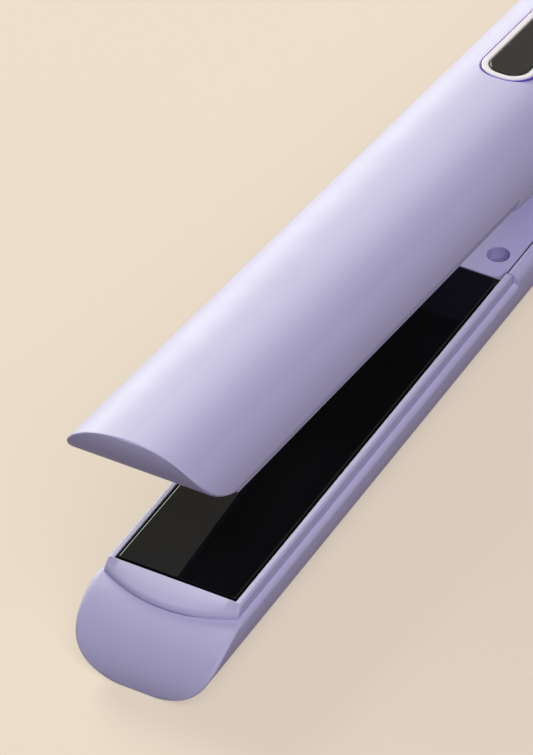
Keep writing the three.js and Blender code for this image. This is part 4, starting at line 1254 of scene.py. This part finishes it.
def make_button(index, kind, node, sizes, details):
    """Domed cap with a sunken sign, held by a flange inside the shell."""
    x = button_x(index, details)
    face = -sizes.depth - details.button_proud
    flange_top = sizes.wall - sizes.depth + sizes.gap
    floor = flange_top + details.button_flange
    radius = details.button_radius
    rim = radius + sizes.gap + details.flange_reach
    crown, crown_fall, edge_fall = 0.7 * radius, 0.03 * MM, 0.22 * MM
    outline = [(0, face), (crown, face + crown_fall), (radius, face + edge_fall),
               (radius, flange_top), (rim, flange_top), (rim, floor), (0, floor)]
    profile = rounded_profile(outline, details.button_round, 6)
    button = turned("button", profile, "z", (x, 0, 0), 96)
    cut(button, *mark_tools(kind, x, face, details))
    button.name = node.replace("_button", "_key")
    seat(smooth(button, 35), "upper")
    deliver(button, "button", node)


# ----------------------------------------------------------------------------------------------
# Finishes
# ----------------------------------------------------------------------------------------------

class Shader:
    """Node tree of one finish, with a short way to add and join its nodes."""

    def __init__(self, name):
        self.material = bpy.data.materials.new(name)
        self.material.use_nodes = True
        self.tree = self.material.node_tree
        self.main = self.tree.nodes["Principled BSDF"]
        self.place = self.node("ShaderNodeTexCoord").outputs["Object"]

    def node(self, kind, inputs=(), **settings):
        made = self.tree.nodes.new(kind)
        for key, value in settings.items():
            setattr(made, key, value)
        for key, value in dict(inputs).items():
            self.feed(made.inputs[key], value)
        return made

    def feed(self, socket, value):
        if isinstance(value, bpy.types.NodeSocket):
            self.tree.links.new(value, socket)
        else:
            socket.default_value = value

    def set(self, **values):
        """Constants or links on the shader's own sockets."""
        for key, value in values.items():
            self.feed(self.main.inputs[key.replace("_", " ")], value)

    def scaled(self, x, y, z):
        """Coordinates stretched along each axis."""
        return self.node("ShaderNodeMapping", {"Vector": self.place, "Scale": (x, y, z)}).outputs[0]

    def noise(self, scale, detail=2.0, rough=0.5, place=None):
        inputs = {"Vector": place or self.place, "Scale": scale, "Detail": detail,
                  "Roughness": rough}
        return self.node("ShaderNodeTexNoise", inputs).outputs["Fac"]

    def mix(self, factor, first, second):
        """Colour between two."""
        made = self.node("ShaderNodeMix", data_type="RGBA")
        self.feed(made.inputs[0], factor)
        self.feed(made.inputs[6], first)
        self.feed(made.inputs[7], second)
        return made.outputs[2]

    def span(self, factor, low, high, start=0.3, end=0.7):
        """Number between two, as a factor goes from start to end."""
        inputs = {"Value": factor, "From Min": start, "From Max": end, "To Min": low, "To Max": high}
        return self.node("ShaderNodeMapRange", inputs).outputs["Result"]

    def relief(self, height, strength, distance):
        inputs = {"Height": height, "Strength": strength, "Distance": distance}
        self.feed(self.main.inputs["Normal"], self.node("ShaderNodeBump", inputs).outputs[0])


def seen_directly(tree):
    """1 for rays that come straight from the camera, a mirror or a glass."""
    path = tree.nodes.new("ShaderNodeLightPath")
    total = path.outputs["Is Camera Ray"]
    for kind in ("Is Glossy Ray", "Is Transmission Ray"):
        either = tree.nodes.new("ShaderNodeMath")
        either.operation = "MAXIMUM"
        tree.links.new(total, either.inputs[0])
        tree.links.new(path.outputs[kind], either.inputs[1])
        total = either.outputs[0]
    return total


def toned(base, share):
    """A colour made lighter or darker."""
    return tuple(min(1.0, channel * share) for channel in base) + (1.0,)


def moulding(name, base, low=0.54, high=0.60, grain=0.05, swing=0.02):
    """Satin moulded plastic: faint flow marks in its tone and a fine spark-eroded grain."""
    shader = Shader(name)
    flow = shader.span(shader.noise(28, 3), 0, 1)
    shader.set(Base_Color=shader.mix(flow, toned(base, 1 - swing), toned(base, 1 + swing)))
    shader.set(Roughness=shader.span(shader.noise(160, 3), low, high))
    shader.relief(shader.noise(3200, 2), grain, 0.03 * MM)
    shader.set(IOR=1.46)
    return shader.material


def shell_plastic():
    return moulding("shell_plastic", colours().shell)


def frame_plastic():
    return moulding("frame_plastic", colours().frame)


def cover_plastic():
    return moulding("cover_plastic", colours().cover, 0.50, 0.58, 0.07)


def button_plastic():
    return moulding("button_plastic", colours().shell, 0.40, 0.46, 0.04)


def gland_plastic():
    return moulding("gland_plastic", colours().gland, 0.42, 0.5, 0.12)


def plate_coat():
    """Mirror-gloss ceramic coat with faint lengthwise polishing lines."""
    shader = Shader("plate_coat")
    lines = shader.noise(1, 4, 0.6, shader.scaled(14, 2600, 400))
    base = colours().plate
    shader.set(Base_Color=shader.mix(shader.noise(60), toned(base, 0.7), toned(base, 1.4)))
    shader.set(Roughness=shader.span(lines, 0.015, 0.035))
    shader.relief(lines, 0.006, 0.01 * MM)
    shader.set(IOR=1.29, Specular_Tint=COOL_SHEEN)
    return shader.material


def display_glass():
    """Smoked window, glossy with faint wipe marks."""
    shader = Shader("smoked_window")
    wipe = shader.noise(1, 3, 0.6, shader.scaled(60, 420, 60))
    base = colours().glass
    shader.set(Base_Color=shader.mix(shader.noise(40), toned(base, 0.8), toned(base, 1.3)))
    shader.set(Roughness=shader.span(wipe, 0.06, 0.11))
    shader.relief(shader.noise(90, 1), 0.01, 0.05 * MM)
    shader.set(IOR=1.38, Specular_Tint=COOL_SHEEN)
    return shader.material


def bezel_plastic():
    return moulding("bezel_plastic", colours().ring, 0.22, 0.28, 0.02, 0.015)


# Deep violet moulding that paints the shade of the gap round the display ring.
def display_ring_shade():
    return moulding("ring_shade_moulding", colours().ring_shade, 0.45, 0.55, 0.1, 0.06)


def steel(name, base, low, high, stretch, speck=0.0):
    """Bare metal with drawn or rolled marks along one axis."""
    shader = Shader(name)
    drawn = shader.noise(1, 5, 0.6, shader.scaled(*stretch))
    shader.set(Base_Color=shader.mix(drawn, toned(base, 0.88), toned(base, 1.06)))
    shader.set(Roughness=shader.span(drawn, low, high))
    shader.relief(drawn, 0.08 + speck, 0.01 * MM)
    shader.set(Metallic=1.0)
    return shader.material


def spring_steel():
    return steel("spring_steel", (0.56, 0.57, 0.60), 0.22, 0.38, (60, 1500, 1500))


def screw_steel():
    return steel("zinc_plated_steel", (0.66, 0.67, 0.70), 0.24, 0.36, (900, 900, 260), 0.05)


def fired_ceramic():
    """Off-white alumina with sparse dark specks."""
    shader = Shader("fired_ceramic")
    specks = shader.span(shader.noise(1400, 1), 0, 1, 0.70, 0.74)
    body = shader.mix(shader.noise(90, 3), (0.76, 0.72, 0.64, 1), (0.84, 0.81, 0.74, 1))
    shader.set(Base_Color=shader.mix(specks, body, (0.32, 0.28, 0.22, 1)))
    shader.set(Roughness=shader.span(shader.noise(500), 0.6, 0.75))
    shader.relief(shader.noise(1800, 3), 0.25, 0.02 * MM)
    return shader.material


def mica():
    """Pressed flakes of amber mica."""
    shader = Shader("pressed_mica")
    cells = shader.node("ShaderNodeTexVoronoi", {"Vector": shader.place, "Scale": 420})
    flake = shader.node("ShaderNodeSeparateColor", {"Color": cells.outputs["Color"]}).outputs[0]
    shader.set(Base_Color=shader.mix(flake, (0.34, 0.23, 0.09, 1), (0.62, 0.48, 0.26, 1)))
    shader.set(Roughness=shader.span(flake, 0.25, 0.5, 0, 1))
    shader.relief(cells.outputs["Distance"], 0.15, 0.02 * MM)
    return shader.material


def filled_epoxy():
    """Black moulded body with a fine glass filler."""
    shader = Shader("filled_epoxy")
    filler = shader.noise(900, 3)
    shader.set(Base_Color=shader.mix(filler, (0.010, 0.010, 0.011, 1), (0.026, 0.026, 0.028, 1)))
    shader.set(Roughness=shader.span(shader.noise(1500), 0.4, 0.62))
    shader.relief(shader.noise(2200, 2), 0.3, 0.02 * MM)
    return shader.material


def tray_plastic():
    """Dark heat-resistant moulding with short pale fibres."""
    shader = Shader("fibre_filled_plastic")
    fibres = shader.span(shader.noise(1, 2, 0.7, shader.scaled(700, 2600, 2600)), 0, 1, 0.58, 0.7)
    shader.set(Base_Color=shader.mix(fibres, (0.022, 0.022, 0.024, 1), (0.05, 0.05, 0.052, 1)))
    shader.set(Roughness=shader.span(fibres, 0.55, 0.7, 0, 1))
    shader.relief(fibres, 0.1, 0.02 * MM)
    return shader.material


def silicone():
    """Red silicone rubber with a powdery bloom."""
    shader = Shader("silicone_rubber")
    bloom = shader.noise(240, 4)
    shader.set(Base_Color=shader.mix(bloom, (0.40, 0.075, 0.032, 1), (0.52, 0.13, 0.07, 1)))
    shader.set(Roughness=shader.span(bloom, 0.62, 0.8))
    shader.relief(shader.noise(1600), 0.12, 0.02 * MM)
    shader.set(Subsurface_Weight=0.05)
    return shader.material


def braided_sleeve():
    """Glass fibre sleeve: two crossed sets of strands."""
    shader = Shader("braided_sleeve")
    sets = []
    for turn in (0.7, -0.7):
        lay = shader.node("ShaderNodeMapping", {"Vector": shader.place, "Rotation": (0, 0, turn)})
        wave = shader.node("ShaderNodeTexWave", {"Vector": lay.outputs[0], "Scale": 900.0,
                                                 "Distortion": 1.2}, bands_direction="X")
        sets.append(wave.outputs["Fac"])
    woven = shader.node("ShaderNodeMath", {0: sets[0], 1: sets[1]}, operation="MAXIMUM").outputs[0]
    shader.set(Base_Color=shader.mix(woven, (0.42, 0.40, 0.34, 1), (0.74, 0.71, 0.63, 1)))
    shader.set(Roughness=0.6)
    shader.relief(woven, 0.5, 0.05 * MM)
    return shader.material


def circuit_board():
    """Green solder mask over copper tracks, with tinned pads."""
    shader = Shader("circuit_board")
    tracks = shader.node("ShaderNodeTexBrick", {
        "Vector": shader.place, "Scale": 190.0, "Mortar Size": 0.06, "Color1": (0, 0, 0, 1),
        "Color2": (0.25, 0.25, 0.25, 1), "Mortar": (1, 1, 1, 1)}).outputs["Fac"]
    cells = shader.node("ShaderNodeTexVoronoi", {"Vector": shader.place, "Scale": 330.0})
    pads = shader.span(cells.outputs["Distance"], 1, 0, 0.13, 0.16)
    mask = shader.mix(tracks, (0.010, 0.085, 0.030, 1), (0.030, 0.190, 0.065, 1))
    shader.set(Base_Color=shader.mix(pads, mask, (0.66, 0.65, 0.60, 1)))
    shader.set(Metallic=pads)
    shader.set(Roughness=shader.span(shader.noise(600), 0.25, 0.42))
    shader.relief(tracks, 0.2, 0.03 * MM)
    return shader.material


def capacitor_box():
    return moulding("capacitor_box", (0.56, 0.34, 0.03), 0.34, 0.44, 0.18, 0.08)


FINISHES = {
    "lilac_body": shell_plastic,
    "lilac_frame": frame_plastic,
    "lilac_cover": cover_plastic,
    "plate_coating": plate_coat,
    "heater_ceramic": fired_ceramic,
    "mica": mica,
    "spring_steel": spring_steel,
    "black_component": filled_epoxy,
    "tray": tray_plastic,
    "silicone": silicone,
    "lead_sleeve": braided_sleeve,
    "screw_steel": screw_steel,
    "circuit_board": circuit_board,
    "capacitor": capacitor_box,
    "gland": gland_plastic,
    "display_ring": bezel_plastic,
    "display_glass": display_glass,
    "button": button_plastic,
}


def colours():
    return bpy.context.scene.iron_colours


# ----------------------------------------------------------------------------------------------
# Operators
# ----------------------------------------------------------------------------------------------

class IRON_OT_stage(bpy.types.Operator):
    """Make the floor, the light and the camera"""

    bl_idname = "iron.stage"
    bl_label = "Stage"

    def execute(self, context):
        settings = context.scene.iron_stage
        context.scene.view_settings.view_transform = "Standard"
        self.camera(context, settings)
        self.floor(settings)
        self.lights(context, settings)
        return {"FINISHED"}

    def camera(self, context, settings):
        a, e, roll = settings.azimuth, settings.elevation, settings.roll
        back = Vector((sin(a) * cos(e), -cos(a) * cos(e), sin(e)))
        level = Vector((cos(a), sin(a), 0))
        upright = back.cross(level)
        right = level * cos(roll) + upright * sin(roll)
        up = upright * cos(roll) - level * sin(roll)
        data = bpy.data.cameras.new("camera")
        data.lens = settings.lens
        data.clip_start = settings.clip_start
        camera = bpy.data.objects.new("camera", data)
        turn = Matrix((right, up, back)).transposed().to_4x4()
        place = Vector(settings.camera_place) + Vector((RECESS_FRONT, 0, RIM_HEIGHT))
        camera.matrix_world = Matrix.Translation(place) @ turn
        context.scene.collection.objects.link(camera)
        context.scene.camera = camera

    def floor(self, settings):
        count = 12
        steps = [settings.floor_half * (2 * i / count - 1) for i in range(count + 1)]
        points = [(x, y, 0.0) for y in steps for x in steps]
        row = count + 1
        faces = [(j * row + i, j * row + i + 1, (j + 1) * row + i + 1, (j + 1) * row + i)
                 for j in range(count) for i in range(count)]
        floor = new_piece("floor", points, faces)
        shader = Shader("floor_card")
        seen = seen_directly(shader.tree)
        pale = settings.backdrop
        card = shader.mix(shader.noise(3), toned(pale, 0.99), toned(pale, 1.01))
        shader.set(Base_Color=shader.mix(seen, toned(settings.floor_shade, 1),
                                         toned(pale, 1 - settings.floor_glow)))
        glow = shader.span(seen, 0, settings.floor_glow, 0, 1)
        shader.set(Emission_Color=card, Emission_Strength=glow)
        shader.set(Roughness=0.9, Specular_IOR_Level=0.0)
        floor.data.materials.append(shader.material)

    def lights(self, context, settings):
        aim = Vector(settings.lamp_aim)
        self.soft_box(context, "key", settings.key_power, settings.key_tint,
                      Vector(settings.key_place), aim, (settings.key_width, settings.key_height))
        self.soft_box(context, "fill", settings.fill_power, settings.fill_tint,
                      Vector(settings.fill_place), aim, (settings.fill_side, settings.fill_side))
        world = bpy.data.worlds.new("sky")
        world.use_nodes = True
        tree = world.node_tree
        even = tree.nodes["Background"]
        even.inputs["Color"].default_value = tuple(settings.sky_tint) + (1,)
        even.inputs["Strength"].default_value = settings.sky_strength
        pale = tree.nodes.new("ShaderNodeBackground")
        pale.inputs["Color"].default_value = tuple(settings.backdrop) + (1,)
        either = tree.nodes.new("ShaderNodeMixShader")
        tree.links.new(seen_directly(tree), either.inputs[0])
        tree.links.new(even.outputs[0], either.inputs[1])
        tree.links.new(pale.outputs[0], either.inputs[2])
        tree.links.new(either.outputs[0], tree.nodes["World Output"].inputs[0])
        context.scene.world = world

    def soft_box(self, context, name, power, tint, place, aim, size):
        data = bpy.data.lights.new(name, "AREA")
        data.shape = "RECTANGLE"
        data.energy = power
        data.color = tint
        data.size, data.size_y = size
        lamp = bpy.data.objects.new(name, data)
        lamp.location = place
        lamp.visible_camera = False
        lamp.rotation_euler = (aim - place).to_track_quat("-Z", "Y").to_euler()
        context.scene.collection.objects.link(lamp)


class IRON_OT_shells(bpy.types.Operator):
    """Make the outer shell of each arm"""

    bl_idname = "iron.shells"
    bl_label = "Outer shells"

    def execute(self, context):
        for arm in ARMS:
            make_shell(arm, context.scene.iron_arm, context.scene.iron_details)
        return {"FINISHED"}


class IRON_OT_plate_frames(bpy.types.Operator):
    """Make the raised frame round each plate, and the dark sheet of painted shade in its recess"""

    bl_idname = "iron.plate_frames"
    bl_label = "Plate frames"

    def execute(self, context):
        for arm in ARMS:
            make_plate_frame(arm, context.scene.iron_arm)
        return {"FINISHED"}


class IRON_OT_heating_plates(bpy.types.Operator):
    """Make the floating heating plates"""

    bl_idname = "iron.heating_plates"
    bl_label = "Heating plates"

    def execute(self, context):
        for arm in ARMS:
            make_heating_plate(arm, context.scene.iron_arm)
        return {"FINISHED"}


class IRON_OT_inner_covers(bpy.types.Operator):
    """Make the inner covers of the handle, their hinge knuckles and the dark strips of painted shade
    in their seams
    """

    bl_idname = "iron.inner_covers"
    bl_label = "Inner covers"

    def execute(self, context):
        for arm in ARMS:
            make_inner_cover(arm, context.scene.iron_arm, context.scene.iron_details)
            make_seam_gap_shades(arm, context.scene.iron_arm)
        return {"FINISHED"}


class IRON_OT_cover_screws(bpy.types.Operator):
    """Make the screws of the inner covers"""

    bl_idname = "iron.cover_screws"
    bl_label = "Cover screws"

    def execute(self, context):
        for arm in ARMS:
            for side in screw_places(context.scene.iron_arm):
                make_cover_screw(arm, side, context.scene.iron_arm)
        return {"FINISHED"}


class IRON_OT_hinge(bpy.types.Operator):
    """Make the hinge pin and the caps over its ends"""

    bl_idname = "iron.hinge"
    bl_label = "Hinge"

    def execute(self, context):
        sizes, details = context.scene.iron_arm, context.scene.iron_details
        make_hinge_pin(sizes, details)
        for side in ("left", "right"):
            make_hinge_cap(side, details)
        return {"FINISHED"}


class IRON_OT_cord_outlet(bpy.types.Operator):
    """Make the bush in the tail and the swivelling gland"""

    bl_idname = "iron.cord_outlet"
    bl_label = "Cord outlet"

    def execute(self, context):
        sizes, details = context.scene.iron_arm, context.scene.iron_details
        make_gland_bush(sizes, details)
        make_cord_gland(sizes, details)
        return {"FINISHED"}


class IRON_OT_display(bpy.types.Operator):
    """Make the display ring, the window, and the bands of painted shade in the gaps round the ring
    and the glass
    """

    bl_idname = "iron.display"
    bl_label = "Display"

    def execute(self, context):
        sizes, details = context.scene.iron_arm, context.scene.iron_details
        make_display_ring(sizes, details)
        make_display_ring_shade(sizes, details)
        make_glass_shade_line(sizes, details)
        make_display_glass(sizes, details)
        return {"FINISHED"}


class IRON_OT_buttons(bpy.types.Operator):
    """Make the three buttons behind the display"""

    bl_idname = "iron.buttons"
    bl_label = "Buttons"

    def execute(self, context):
        signs = {"power_button": "power", "warmer_button": "plus", "cooler_button": "minus"}
        for index, (node, kind) in enumerate(signs.items()):
            make_button(index, kind, node, context.scene.iron_arm, context.scene.iron_details)
        return {"FINISHED"}


class IRON_OT_inside(bpy.types.Operator):
    """Give the pieces inside the arms their finishes"""

    bl_idname = "iron.inside"
    bl_label = "Inside"

    def execute(self, context):
        made = {}
        for part in frame["record"]["subparts"]:
            node = frame["nodes"][part["node"]]
            if node.hide_render:
                continue
            slot = part["material_slot"]
            if slot not in made:
                made[slot] = FINISHES[slot]()
            node.data.materials.clear()
            node.data.materials.append(made[slot])
        return {"FINISHED"}


class IRON_PT_pieces(bpy.types.Panel):
    """Lists the pieces of the hair iron"""

    bl_idname = "IRON_PT_pieces"
    bl_label = "Hair iron"
    bl_space_type = "VIEW_3D"
    bl_region_type = "UI"
    bl_category = "Hair iron"

    def draw(self, context):
        for operator in OPERATORS:
            self.layout.operator(operator.bl_idname)
        for group in ("iron_arm", "iron_details", "iron_colours", "iron_stage"):
            box = self.layout.box()
            settings = getattr(context.scene, group)
            for key in settings.__annotations__:
                box.prop(settings, key)


OPERATORS = (
    IRON_OT_stage,
    IRON_OT_shells,
    IRON_OT_plate_frames,
    IRON_OT_heating_plates,
    IRON_OT_inner_covers,
    IRON_OT_cover_screws,
    IRON_OT_hinge,
    IRON_OT_cord_outlet,
    IRON_OT_display,
    IRON_OT_buttons,
    IRON_OT_inside,
)
GROUPS = {
    "iron_arm": ArmSizes,
    "iron_details": DetailSizes,
    "iron_colours": IronColours,
    "iron_stage": StageSettings,
}


def register():
    for group, kind in GROUPS.items():
        bpy.utils.register_class(kind)
        setattr(bpy.types.Scene, group, bpy.props.PointerProperty(type=kind))
    for kind in (*OPERATORS, IRON_PT_pieces):
        bpy.utils.register_class(kind)


def unregister():
    for kind in (IRON_PT_pieces, *reversed(OPERATORS)):
        bpy.utils.unregister_class(kind)
    for group, kind in GROUPS.items():
        delattr(bpy.types.Scene, group)
        bpy.utils.unregister_class(kind)


def main():
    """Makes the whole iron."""
    register()
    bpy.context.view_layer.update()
    bpy.ops.iron.stage()
    bpy.ops.iron.shells()
    bpy.ops.iron.plate_frames()
    bpy.ops.iron.heating_plates()
    bpy.ops.iron.inner_covers()
    bpy.ops.iron.cover_screws()
    bpy.ops.iron.hinge()
    bpy.ops.iron.cord_outlet()
    bpy.ops.iron.display()
    bpy.ops.iron.buttons()
    bpy.ops.iron.inside()


if __name__ == "__main__":
    main()
